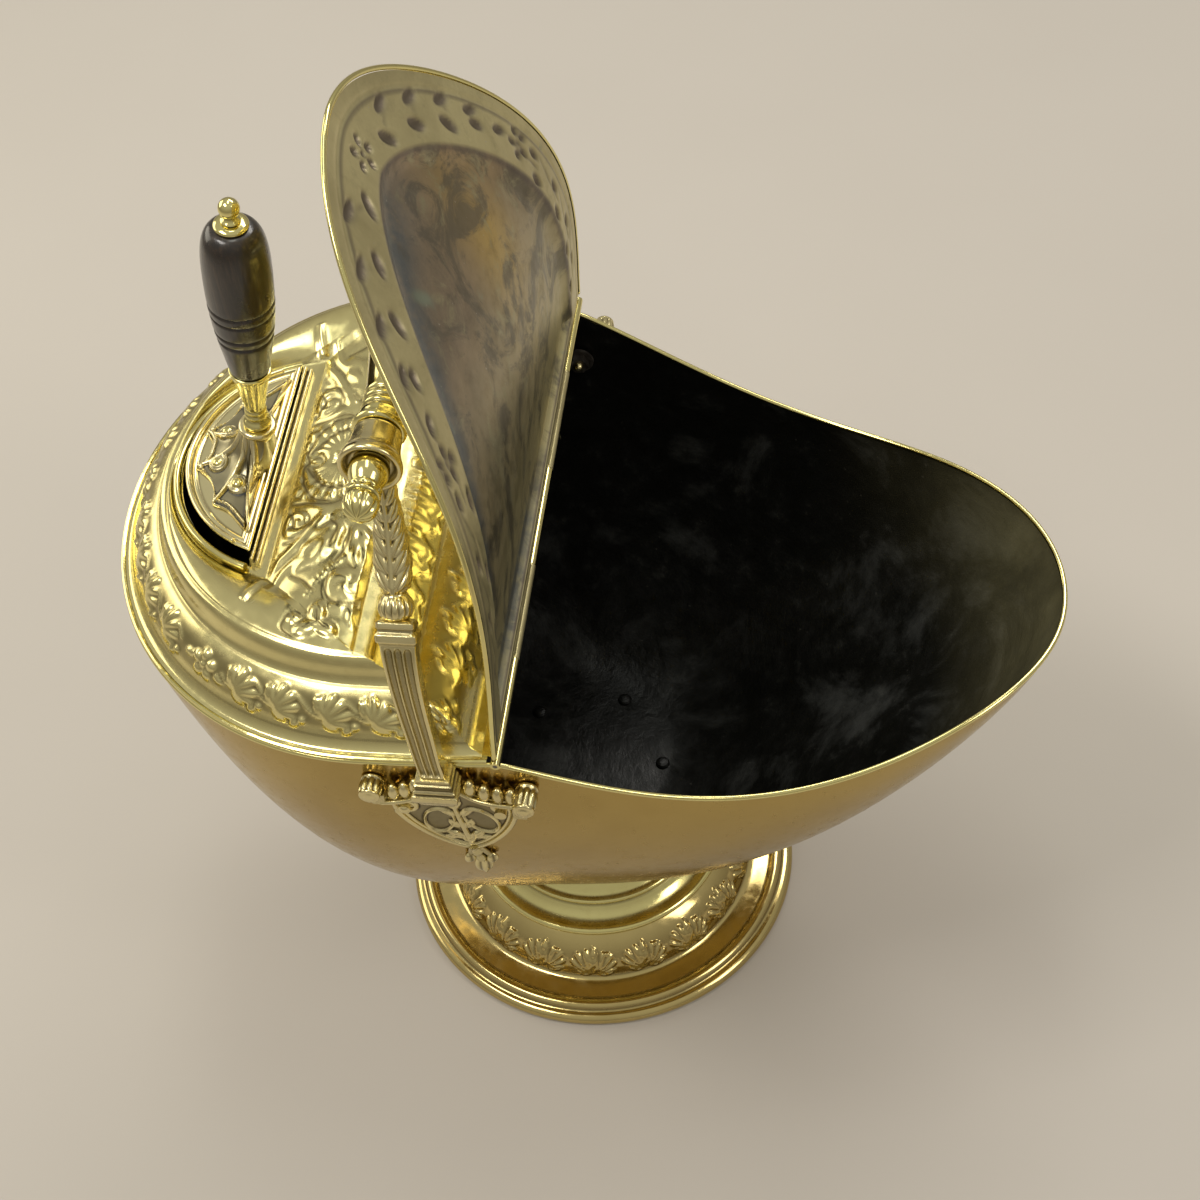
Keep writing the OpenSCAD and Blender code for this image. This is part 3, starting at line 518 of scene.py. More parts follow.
def bowl_grid(a, h, off, z0, ztop):
    """The wall from its round floor (h 0) to the rim (h 1)."""
    a, h = a[None, :], h[:, None]
    c = np.cos(a)
    n = np.maximum(1, 2.19 + 0.393 * c - 1.361 * c * c)
    m = 2.185 - 0.792 * c
    g = np.maximum(0, 1 - (1 - h) ** n) ** (1 / m)
    px, py = plan(a, off)
    bx, by = (BOWL_R + off) * np.cos(a), (BOWL_R + off) * np.sin(a)
    zr = rim_at(px) + ztop
    return np.stack([bx + (px - bx) * g, by + (py - by) * g, z0 + (zr - z0) * h + 0 * g], -1)


def add_bowl():
    """The raised bowl, with the thickness of its sheet."""
    n = 320
    a, h = turns(n), np.linspace(0, 1, 90) ** 1.5

    def skin(side, z):
        """Flat floor rings, then the wall, on one side of the sheet."""
        r, f = BOWL_R + side, np.array([0.02, 0.3, 0.6, 0.85])[:, None]
        rings = np.stack([r * f * np.cos(a), r * f * np.sin(a), np.full((4, n), z)], -1)
        return np.concatenate([rings, bowl_grid(a, h, side, z, UNDER_WIRE)])
    top, under = skin(SHEET / 2, BOWL_Z), skin(-SHEET / 2, BOWL_Z + SHEET)
    v = np.stack([top, under])
    lip = unit((v[..., 0] - 120) / 130) ** 1.6 * unit((v[..., 2] - 205) / 70)
    sheet_piece("bowl_shell", top, under, [m_side_painted_reflection, m_japan], "polished_brass", "bowl",
                {"lip": lip, "cav": 0 * lip}, capped="first", order=(0, 1), sharp=50)


def add_rim():
    """The wire rolled into the bowl's edge."""
    x, y = plan(turns(360))
    v, f = tube_parts(np.stack([x, y, rim_at(x)], -1), WIRE_R, 14, closed=True)
    mesh_piece("rim_wire", v, f, m_turned, "scuttle", "bowl_rim_bead")


# ---------------------------------------------------------------- relief: heights of chased ornament


def to_segment(x, y, a, b):
    """How far along the segment a to b the nearest point lies, 0 to 1, and how far away it is."""
    d = b - a
    t = unit(((x - a[0]) * d[0] + (y - a[1]) * d[1]) / max(d @ d, 1e-9))
    return t, np.hypot(x - a[0] - t * d[0], y - a[1] - t * d[1])


class Relief:
    """Heights H over a field of X and Y; every motif keeps the higher of old and new.

    D is how dark the chased lines are. cx, cy place a motif and ang turns it.
    """

    def __init__(self, X, Y):
        self.X, self.Y = X, Y
        self.H = np.zeros_like(X)
        self.D = np.zeros_like(X)

    def box(self, p, r):
        """Points of the field within r of the box round some points."""
        lo, hi = p.min(0) - r, p.max(0) + r
        return (self.X > lo[0]) & (self.X < hi[0]) & (self.Y > lo[1]) & (self.Y < hi[1])

    def near(self, cx, cy, r):
        return (np.abs(self.X - cx) < r) & (np.abs(self.Y - cy) < r)

    def local(self, m, cx, cy, ang):
        x, y = self.X[m] - cx, self.Y[m] - cy
        c, s = math.cos(ang), math.sin(ang)
        return x * c + y * s, -x * s + y * c

    def keep(self, m, h):
        self.H[m] = np.maximum(self.H[m], h)

    def petal(self, cx, cy, ang, length, half, height, ribs=1.0, serr=0.0, groove=0.25):
        """Pointed leaf from its base point, with ribs, a serrated edge and a mid groove."""
        m = self.near(cx, cy, length * 1.05)
        x, y = self.local(m, cx, cy, ang)
        t = unit(x / length)
        w = half * np.sin(np.pi * t ** 0.75) ** 0.8 * (1 + serr * np.sin(3 * np.pi * ribs * t)) + 1e-6
        q = np.abs(y) / w
        dome = np.sqrt(unit(1 - q ** 2)) ** 0.7 * np.sin(np.pi * t) ** 0.35
        vein = 0.5 + 0.5 * np.cos(2 * np.pi * ribs * (t - 0.35 * q))
        mid = bell(y, 0.13 * half)
        h = height * dome * (0.72 + 0.28 * vein - groove * mid)
        self.keep(m, np.where((x > 0) & (x < length) & (q < 1), h, 0))

    def fan(self, cx, cy, ang, length, spread, ribs, height):
        """Ribbed leaf spreading from its base point."""
        m = self.near(cx, cy, length * 1.05)
        x, y = self.local(m, cx, cy, ang)
        r, u = np.hypot(x, y), np.arctan2(y, x) / spread
        lobe = np.abs(np.sin(np.pi * ribs * (u + 1) / 2))
        R = length * (0.70 + 0.30 * lobe ** 0.6) * (1 - 0.28 * u ** 2)
        e = r / R
        h = height * unit(1 - e ** 4) ** 0.6 * (0.38 + 0.62 * lobe ** 0.8) * np.clip(e * 6, 0.3, 1)
        self.keep(m, np.where((np.abs(u) < 1) & (e < 1), h, 0))

    def rosette(self, cx, cy, r0, n, phase, height, boss=0.22):
        """Flower of n petals with a boss in the middle."""
        m = self.near(cx, cy, r0 * 1.05)
        x, y = self.local(m, cx, cy, phase)
        r, th = np.hypot(x, y), np.arctan2(y, x)
        lobe = np.abs(np.cos(n * th / 2))
        e = r / (r0 * (0.42 + 0.58 * lobe ** 0.5))
        vein = 1 - 0.3 * bell(np.sin(n * th / 2), 0.16) * (r > boss * r0)
        h = height * unit(1 - e ** 3) ** 0.5 * (0.35 + 0.65 * lobe) * np.clip(r / r0 * 2, 0.35, 1) * vein
        b = height * 1.05 * np.sqrt(unit(1 - (r / (boss * r0)) ** 2))
        self.keep(m, np.maximum(np.where(e < 1, h, 0), b))

    def bud(self, cx, cy, a, b, ang, height, folds=0):
        """Oval dome, folded like a rosebud if asked."""
        m = self.near(cx, cy, max(a, b) * 1.05)
        x, y = self.local(m, cx, cy, ang)
        e = np.sqrt((x / a) ** 2 + (y / b) ** 2)
        h = height * np.sqrt(unit(1 - e ** 2)) ** 0.8
        if folds:
            h = h * (0.82 + 0.18 * np.cos(folds * np.arctan2(y, x) + 4.5 * e))
        self.keep(m, h)

    def stroke(self, pts, r0, r1, height, taper=0.6):
        """Raised line whose half width goes from r0 to r1."""
        p = np.asarray(pts, float)
        m = self.box(p, max(r0, r1))
        x, y = self.X[m], self.Y[m]
        best = np.zeros_like(x)
        n = len(p) - 1
        for k in range(n):
            t, dist = to_segment(x, y, p[k], p[k + 1])
            rad = r0 + (r1 - r0) * (k + t) / n
            h = np.sqrt(unit(1 - (dist / rad) ** 2)) * (rad / max(r0, r1)) ** taper
            best = np.maximum(best, h)
        self.keep(m, height * best)

    def chase(self, pts, r=0.9, depth=0.8):
        """Dark line cut into the sheet along a curve."""
        p = spline(pts, 8 * len(pts))
        m = self.box(p, 3 * r)
        x, y = self.X[m], self.Y[m]
        best = np.full_like(x, 1e9)
        for a, b in zip(p[:-1], p[1:]):
            best = np.minimum(best, to_segment(x, y, a, b)[1])
        g = bell(best, r)
        self.H[m] -= depth * g
        self.D[m] = np.maximum(self.D[m], g)

    def swell(self, cx, cy, a, b, ang, height):
        """Soft rounded lobe with no edge."""
        m = self.near(cx, cy, 2.2 * max(a, b))
        x, y = self.local(m, cx, cy, ang)
        self.keep(m, height * np.exp(-((x / a) ** 2 + (y / b) ** 2) ** 1.3))

    def scroll(self, cx, cy, r, turns, start, hand, w0, w1, height):
        """Spiral from its outside in, hand +1 or -1."""
        t = np.linspace(0, 1, int(18 * turns) + 6)
        a = start + hand * 2 * np.pi * turns * t
        rad = r * (1 - 0.80 * t ** 0.85)
        self.stroke(np.stack([cx + rad * np.cos(a), cy + rad * np.sin(a)], 1), w0, w1, height)
        self.bud(cx, cy, r * 0.22, r * 0.22, 0, height)

    def beads(self, ctrl, r, pitch, height):
        """Row of small domes along a curve."""
        c = spline(ctrl, 200)
        s = along(c)
        for x, y in at_distances(np.arange(0, s[-1], pitch), s, c):
            self.bud(x, y, r, r, 0, height)


# ---------------------------------------------------------------- embossed cover
COVER_FRONT = HINGE_X - 5.0
SLOT_R, SLOT_X, SLOT_OFF, SLOT_Z, DOME_Z = 69.6, -141.0, 22.0, 361.6, 369.0
COVER_LEVELS = np.array([  # inwards from the rim, back from the hinge, height
    (1.3, 0, 330.8), (3.4, 3, 331.1), (6, 8, 333.4), (8.5, 12, 337.5), (11, 16, 343), (14.5, 21, 348.5),
    (18, 27, 352.4), (22, 34, 355), (24.5, 38, 356.2), (26.5, 43, 359.2), (28.5, 49, 364.4),
    (30.6, 56, 367.8), (33, 64, DOME_Z)])
COVER_CUM = [0, 2.1, 5.6, 10.4, 16.4, 22.9, 28.1, 32.9, 35.6, 39.2, 44.8, 48.8, 51.5]  # along them
FRONT_N, REAR_N = 200, 620  # points of a ring on its straight front and round its back
GARLAND_V = 20.0
LEAF_S = (29.0, 52.0, 76.6, 101.2, 156.8, 179.5, 205.0, 227.4)
FLOWER_S = (2.0, 131.0, 256.0)


def cover_ring(dd, dh, z):
    """A closed line at one level of the cover."""
    xf = COVER_FRONT - dh
    hw = half_at(xf) - dd
    y = np.linspace(-hw, hw, FRONT_N, endpoint=False)
    front = np.stack([np.full(FRONT_N, xf), y], -1)
    w = np.arange(REAR_N) * 62.0 / REAR_N
    x1 = xf + (WIDE_X - xf) * w / 6
    x2 = WIDE_X + (xf - WIDE_X) * (w - 56) / 6
    a = np.radians(90 + 3.6 * (w - 6))
    tail = np.maximum(0, -np.cos(a)) ** 4 * ((w >= 6) & (w <= 56))
    dr = dd - 0.42 * tail * max(0, dd - 24.5)
    xr = WIDE_X + (REAR - dr) * pw(np.cos(a), 2 / NR)
    yr = (HALF_W - dr) * pw(np.sin(a), 2 / NR)
    x = np.where(w < 6, x1, np.where(w > 56, x2, xr))
    y = np.where(w < 6, half_at(x1) - dd, np.where(w > 56, -(half_at(x2) - dd), yr))
    xy = np.concatenate([front, np.stack([x, y], -1)])
    high = np.concatenate([np.full(FRONT_N, z), z - 0.93 * tail * max(0, z - SLOT_Z)])
    return np.concatenate([xy, high[:, None]], 1)


def slot_ring(g, f, z):
    """The slot's D shape, its arc g wider and its straight side f further forward."""
    cx, r, xs = SLOT_X + SLOT_OFF, SLOT_R + g, SLOT_X + f
    a0 = math.acos((cx - xs) / r)
    hw = r * math.sin(a0)
    y = np.linspace(-hw, hw, FRONT_N, endpoint=False)
    a = math.pi - a0 + 2 * a0 * np.arange(REAR_N) / REAR_N
    x = np.concatenate([np.full(FRONT_N, xs), cx + r * np.cos(a)])
    return np.stack([x, np.concatenate([y, r * np.sin(a)]), np.full(FRONT_N + REAR_N, z)], -1)


def garland(R, places, flowers, v0, height, lean=0.75):
    """Ribbed leaves, with pairs of buds, and small flowers along one line of the field."""
    for s in places:
        R.fan(s - 5.5, v0 - 3.5, lean, 15.5, 1.15, 5, height)
        R.petal(s - 6, v0 - 2, lean + 1.15, 11, 3.1, height * 0.85, 3, 0.1)
        R.petal(s - 6, v0 - 3, lean - 1.35, 10, 2.8, height * 0.85, 3, 0.1)
        R.bud(s + 5.5, v0 - 8.0, 2.5, 2.0, 0.5, height * 0.9)
        R.bud(s + 9.5, v0 - 5.5, 2.1, 1.8, 0.5, height * 0.8)
        R.bud(s - 9.0, v0 + 5.5, 2.4, 1.9, 0.8, height * 0.8)
        R.stroke([(s - 14, v0 + 1), (s - 9, v0 - 2), (s - 4, v0 - 3), (s + 2, v0 - 6)],
                 0.8, 0.8, height * 0.6)
        R.stroke([(s - 6, v0 - 3), (s - 2, v0 + 3), (s + 6, v0 + 6), (s + 11, v0 + 2)],
                 0.6, 0.9, height * 0.5)
    for s in flowers:
        R.rosette(s, v0, 8.4, 5, 0.3, height * 1.15)
        R.petal(s + 7, v0 - 2, -0.2, 8, 2.2, height * 0.8, 2)
        R.petal(s - 7, v0 + 1, math.pi + 0.2, 8, 2.2, height * 0.8, 2)


def dome_relief(X, Y):
    """Chased scrolls, leaves and flowers of the cover's top; Y is the distance from the middle line."""
    R = Relief(X, Y)
    # fan leaf and scrolls round the foot of the scoop's slot and beside the grip's end
    R.fan(-105, 4, 2.15, 27, 0.95, 6, 2.6)
    R.scroll(-128, 13, 9.0, 1.2, -1.4, 1, 3.4, 1.6, 2.4)
    R.scroll(-119, -3, 9.0, 1.1, 1.0, -1, 3.0, 1.6, 2.0)
    R.swell(-131, 1, 6, 5, 0.3, 1.8)
    R.swell(-110, 33, 9, 5, 0.5, 2.0)
    R.scroll(-121, 40, 9.0, 1.15, 0.6, 1, 3.6, 1.6, 2.6)
    R.swell(-97, 33, 8, 5, -0.3, 1.8)
    # long bright ridge and the leaves that hang beside it
    R.stroke(spline([(-136, 92), (-133, 80), (-128, 68), (-120, 58), (-114, 48), (-108, 38)], 40),
             1.6, 3.6, 2.6)
    R.stroke(spline([(-126, 84), (-122, 72), (-114, 62)], 20), 1.0, 2.4, 1.6)
    R.petal(-97, 42, 2.13, 36, 8.6, 3.0, 2.5, 0.06)
    R.petal(-102, 60, 2.6, 20, 5.0, 2.4, 2, 0.06)
    R.petal(-89, 44, 1.30, 34, 7.4, 2.9, 2.5, 0.06)
    R.petal(-77, 60, 1.75, 24, 5.4, 2.2, 2, 0.06)
    R.beads([(-89, 46), (-90, 60), (-96, 69), (-103, 78), (-107, 90)], 1.25, 3.1, 1.7)
    # rosebud
    R.bud(-87, 81, 11.5, 10.0, 0.5, 3.4, folds=3)
    R.petal(-80, 90, 2.7, 16, 4.6, 2.0, 2)
    R.swell(-76, 82, 5, 7, 0.2, 1.8)
    # two three-petalled flowers
    for cx, cy, petals in ((-97, 105, ((-99, 94.5), (-104.5, 110), (-90, 109))),
                           (-75, 104, ((-81, 99), (-68.5, 98.5), (-74, 114)))):
        for px, py in petals:
            out = math.atan2(py - cy, px - cx)
            R.bud((px + cx) / 2 + 0.12 * (px - cx), (py + cy) / 2 + 0.12 * (py - cy), 6.6, 4.4, out, 2.6)
            R.chase([(cx, cy), (0.3 * cx + 0.7 * px, 0.3 * cy + 0.7 * py)], 0.6, 0.7)
        R.bud(cx, cy, 2.6, 2.6, 0, 3.4)
    R.bud(-109, 103, 3.2, 3.2, 0, 1.8)
    R.swell(-113, 92, 5, 8, 0.4, 1.2)
    # lobes between the grip's end and the hinge
    R.swell(-68, 30, 7.5, 6.0, 0.6, 2.6)
    R.swell(-58, 39, 7.5, 5.5, 0.4, 2.6)
    R.swell(-60, 22, 6.5, 5.0, 0.2, 2.2)
    R.swell(-72, 8, 7.0, 6.0, 0, 2.2)
    R.swell(-60, 6, 6.0, 5.0, 0, 1.8)
    R.scroll(-66, 50, 8.5, 1.2, -0.6, 1, 3.2, 1.4, 2.5)
    R.petal(-70, 58, 1.2, 26, 6.2, 2.4, 2, 0.06)
    R.petal(-60, 56, 1.5, 28, 6.0, 2.4, 2, 0.06)
    R.scroll(-58, 92, 8.0, 1.2, -1.8, 1, 3.0, 1.3, 2.3)
    R.petal(-60, 100, 1.2, 15, 4.2, 2.0, 2, 0.06)
    # outlines
    for line in ([(-137, 14), (-134, 20), (-129, 26.5), (-119, 28), (-108, 30), (-100, 27)],
                 [(-130, 31), (-125, 35), (-123.5, 41), (-126, 46), (-131, 49)],
                 [(-122, -4), (-125, 6), (-122, 17), (-115, 26), (-106, 28)],
                 [(-137, 18), (-131, 23), (-127, 33), (-133, 38)],
                 [(-123, 5), (-118, 12), (-113, 17), (-106, 20), (-98, 19)],
                 [(-120, 7), (-112, 18), (-102, 18.5)],
                 [(-71, 17), (-66, 20), (-60, 18)], [(-66, 37), (-63, 34), (-61, 30)],
                 [(-61, 40), (-55, 46), (-49, 48)], [(-104, 40), (-99, 46), (-101, 56)],
                 [(-93, 46), (-92, 56), (-96, 66)], [(-117, 74), (-110, 78), (-104, 84)],
                 [(-98, 75), (-97, 86), (-91, 92), (-80, 92)], [(-80, 72), (-76, 78), (-75, 88)],
                 [(-138, 52), (-131, 58), (-127, 62)], [(-112, 100), (-114, 108), (-108, 113)],
                 [(-83, 27), (-77, 36), (-76, 47)], [(-126, 52), (-118, 50), (-113, 42)]):
        R.chase(line)
    return R.H, R.D


def add_cover():
    """The chased cover over the back of the bowl."""
    per = 7  # rings between two levels
    prof = spline(COVER_LEVELS, (len(COVER_LEVELS) - 1) * per + 1)
    levels = np.arange(len(COVER_LEVELS))
    cum = np.interp(np.linspace(0, levels[-1], len(prof)), levels, COVER_CUM)
    flank = np.stack([cover_ring(*p) for p in prof])
    edge = cover_ring(*COVER_LEVELS[-1])
    band = slot_ring(4.8, 10.4, SLOT_Z)
    s = np.linspace(0, 1, 84)[1:]
    rise = 3.7 * np.sin(np.pi * s ** 0.9) ** 0.8
    far_apart = np.minimum(1, np.linalg.norm(band - edge, axis=1) / 30)
    top = edge[None] + (band - edge)[None] * s[:, None, None]
    top[:, :, 2] += rise[:, None] * far_apart[None]
    lip = np.stack([band + (slot_ring(0, 0, SLOT_Z) - band) * t for t in (0.35, 0.7, 1.0)])
    P = np.concatenate([flank, top, lip])
    N = grid_normals(P)
    N *= np.sign(N[len(flank) + 20, 300, 2])
    # S: distance along the garland's line from the middle of the back; V: distance up the flank
    g = cover_ring(*COVER_LEVELS[5])
    step = np.linalg.norm(np.roll(g, -1, 0) - g, axis=1)
    arc = np.concatenate([[0], np.cumsum(step)[:-1]])
    total = step.sum()
    back = arc[FRONT_N + REAR_N // 2]
    S = np.abs((arc - back + total / 2) % total - total / 2)
    S = np.broadcast_to(S, (len(prof), len(S)))
    V = np.broadcast_to(cum[:, None], S.shape)
    R = Relief(S, V)
    garland(R, LEAF_S + tuple(total / 2 - 12 - 23.4 * k for k in range(5)), FLOWER_S, GARLAND_V, 2.2)
    for k in range(8):
        R.fan(total / 2 - 8 - 15 * k, 35.5, 1.3 + 0.5 * (k % 2), 14, 1.1, 5, 2.0)
        R.swell(total / 2 - 15 - 15 * k, 44, 4, 3, 0.6, 1.8)
    # the field ends below the ridge, but goes on up the front slope
    top_edge = 36 + 14 * unit((S - (total / 2 - 118)) / 10)
    H1 = R.H * unit((V - 5) / 4) * unit((top_edge - V) / 4)
    H2, dark = dome_relief(P[len(prof):, :, 0], np.abs(P[len(prof):, :, 1]))
    n = np.arange(len(top))
    fade = np.concatenate([unit(n / 5.0) * unit((len(top) - 4 - n) / 5.0), np.zeros(len(lip))])[:, None]
    soft = blur(H2, 2, wrap_u=True) * 0.66
    H = np.concatenate([blur(H1, 1, wrap_u=True), soft * fade])
    cav = hollows(H, 7, 1.4, True)
    cav[len(prof):] = np.maximum(cav[len(prof):], 0.9 * dark * fade)
    field = unit((V - 11) / 3) * unit((32 - V) / 3) * unit(1 - H1 / 0.9)
    lines = bell(cum[:, None] - 8.0, 0.7) * 0.5 + bell(cum[:, None] - 34.3, 0.8) * 0.6
    cav[:len(prof)] = np.maximum(np.maximum(cav[:len(prof)], 0.55 * field), lines)
    sheet_piece("embossed_cover", P + N * H[..., None], P - N * 1.0, [m_emboss], "embossed_brass",
                "back_cover", {"cav": (cav, 0 * cav)})


# ---------------------------------------------------------------- lid
LID_OPEN = 113.2
LID_LEN, LID_W, LID_E = 258.9, 155.0, 1.79
LID_LEVELS = np.array([  # length, half width, exponent, straight edge, height
    (257.2, 153.3, 1.79, 5.0, 0.0), (251.9, 149.0, 1.79, 6.0, 0.0), (236.0, 139.5, 1.70, 7.5, 0.1),
    (221.0, 131.6, 1.62, 9.0, 0.3), (217.0, 128.0, 1.61, 10.8, 2.6), (212.0, 123.6, 1.60, 13.0, 5.0),
    (205.0, 118.0, 1.60, 16.0, 5.6), (186.0, 106.0, 1.65, 19.0, 5.6), (150.0, 84.0, 1.74, 24.0, 5.6),
    (112.0, 58.0, 1.85, 30.0, 5.6), (80.0, 30.0, 1.90, 36.0, 5.6), (58.0, 6.0, 1.95, 44.0, 5.6)])
LID_NF, LID_NB = 360, 110  # points of a ring round its bow and along its straight edge
LID_SHEET = 1.0
BORDER_IN, BORDER_OUT = 222, 249  # the ornamented border, by the rings' length


def opened(P):
    """Turns points of the closed lid, measured from the hinge, to the open lid's place."""
    a = math.radians(LID_OPEN)
    x, z = P[..., 0], P[..., 2]
    return np.stack([HINGE_X + x * math.cos(a) - z * math.sin(a), P[..., 1],
                     HINGE_Z + x * math.sin(a) + z * math.cos(a)], -1)


def lid_ring(a, w, e, x0, dz):
    """A closed line round the lid, dz over the sheet that follows the rim."""
    t = np.linspace(-np.pi / 2, np.pi / 2, LID_NF)
    c = np.maximum(np.cos(t), 0)
    x = x0 + (a - x0) * pw(c, 2 / e)
    y = w * pw(np.sin(t), 2 / e)
    x = np.concatenate([x, np.full(LID_NB, x0)])
    y = np.concatenate([y, np.linspace(w, -w, LID_NB + 2)[1:-1]])
    return np.stack([x, y, saddle(x) + dz], -1)


def lid_relief(X, Y):
    """Pairs of oval leaves with stems, and small flowers, between the lid's two edges."""
    R = Relief(X, Y)
    h = 2.2
    long_ones = ((222.3, 22, 7.0, 3.2, 2.63), (209.2, 45.5, 6.6, 3.2, 2.49), (191.3, 65, 7.0, 3.2, 2.85),
                 (175, 82.5, 5.6, 2.8, 2.6), (120, 104, 5.4, 2.8, 2.8), (88, 117, 5.4, 2.8, 2.9),
                 (58, 125, 5.2, 2.6, 3.0), (30, 130, 5.0, 2.6, 3.1))
    small_ones = ((232, 35, 7.0, 2.8, 1.62), (217.5, 56, 7.0, 2.8, 1.78), (200, 73.5, 6.6, 2.8, 1.95),
                  (181.5, 86, 5.8, 2.7, 2.15), (160, 95.5, 5.4, 2.6, 2.35), (129, 113, 4.2, 2.3, 2.7),
                  (100, 123, 4.2, 2.3, 2.8), (72, 131, 4.2, 2.3, 2.9), (44, 136, 4.0, 2.3, 3.0))
    for s in (1, -1):
        for x, y, a, b, w in long_ones + small_ones:
            R.bud(x, s * y, a, b, s * w, h)
        for (x0, y0, *_), (x1, y1, *_) in zip(long_ones, small_ones):
            middle = (0.5 * x0 + 0.5 * x1 + 1, s * (0.5 * y0 + 0.5 * y1 + 2))
            R.stroke([(x0 + 4, s * (y0 + 5)), middle, (x1 - 4, s * (y1 + 4))], 0.8, 0.5, 1.0)
    for cx, cy in ((233, 0), (143.5, 104), (143.5, -104)):
        for k in range(5):
            w = 0.6 + k * 2 * np.pi / 5
            R.bud(cx + 6.2 * math.cos(w), cy + 6.2 * math.sin(w), 3.0, 2.2, w, h)
        R.bud(cx, cy, 1.7, 1.7, 0, h * 0.8)
    return R.H


def add_lid():
    """The embossed lid, open as photographed."""
    rows = []
    for a, b in zip(LID_LEVELS[:-1], LID_LEVELS[1:]):
        n = max(4, int(abs(a[0] - b[0]) / 1.1) if a[0] > 200 else 6)
        rows += [a + (b - a) * t for t in np.linspace(0, 1, n, endpoint=False)]
    rows = np.array(rows + [LID_LEVELS[-1]])
    P = np.stack([lid_ring(*r[:4], z) for r, z in zip(rows, eased(rows[:, 4], 3))])
    across, length = P[..., 1], rows[:, :1] + 0 * P[..., 1]
    H = lid_relief(P[..., 0], across)
    edge = (rows[:, 0] < BORDER_OUT) & (rows[:, 0] > BORDER_IN)
    H = blur(H * blur(edge.astype(float)[:, None], 2), 1, wrap_u=True)
    P[..., 2] += 0.7 * bell(length - 249.5, 1.3)
    rim = bell(length - 247.0, 1.1) * 0.8 + bell(length - 219.5, 1.6) * 0.8
    # where the inside's colours lie; the dab is one spot of verdigris, and low is painted light that
    # lightens the field towards the hinge, where shadow falls
    u, w = P[..., 0] - 176.5, across + 33
    shades = {
        "zone": unit((BORDER_IN - length) / 2.5),
        "low": unit((150 - P[..., 0]) / 120),
        "blue": bell(length - 206, 15) * unit((25 - across) / 40),
        "ochre": np.exp(-((P[..., 0] - 148) / 42) ** 2 - ((across - 42) / 26) ** 2),
        "dab": np.exp(-(((0.82 * u - 0.57 * w) / 8) ** 2 + ((0.57 * u + 0.82 * w) / 3.6) ** 2) ** 2)}
    # painted highlight: a lighter ring round the foot of each bud, on the inside
    painted_rim_highlight = unit((blur(H, 5, True) - H) * 1.4) * (H < 0.3)
    cav_in = np.maximum(unit(H / 1.1) * 0.85 * (1 - 0.3 * painted_rim_highlight), rim * 0.8)
    cav_out = np.maximum(hollows(H, 6, 1.5, True), rim * 0.5)
    skins = [opened(P + np.array([0, 0, 1.0]) * (H[..., None] + side))
             for side in (LID_SHEET / 2, -LID_SHEET / 2)]
    sheet_piece("embossed_lid", *skins, [m_lid, m_back], "tarnished_brass", "lid_panel",
                {"cav": (cav_out, cav_in), **{k: (v, v) for k, v in shades.items()}}, body="lid",
                capped="last", order=(1, 0), sharp=50)


def add_lid_bead():
    """The lid's wired edge."""
    t = np.linspace(-np.pi / 2, np.pi / 2, 240)
    x0 = LID_LEVELS[0][3]
    x = x0 + (LID_LEN - x0) * pw(np.maximum(np.cos(t), 0), 2 / LID_E)
    y = LID_W * pw(np.sin(t), 2 / LID_E)
    path = opened(np.stack([x, y, saddle(x)], -1))
    v, f = tube_parts(path, 1.3, 14, up=(0.92, 0, 0.39))
    mesh_piece("lid_rolled_edge", v, f, m_turned, "lid", "lid_edge_bead")


# ---------------------------------------------------------------- foot and neck
FOOT_LEAVES = 18


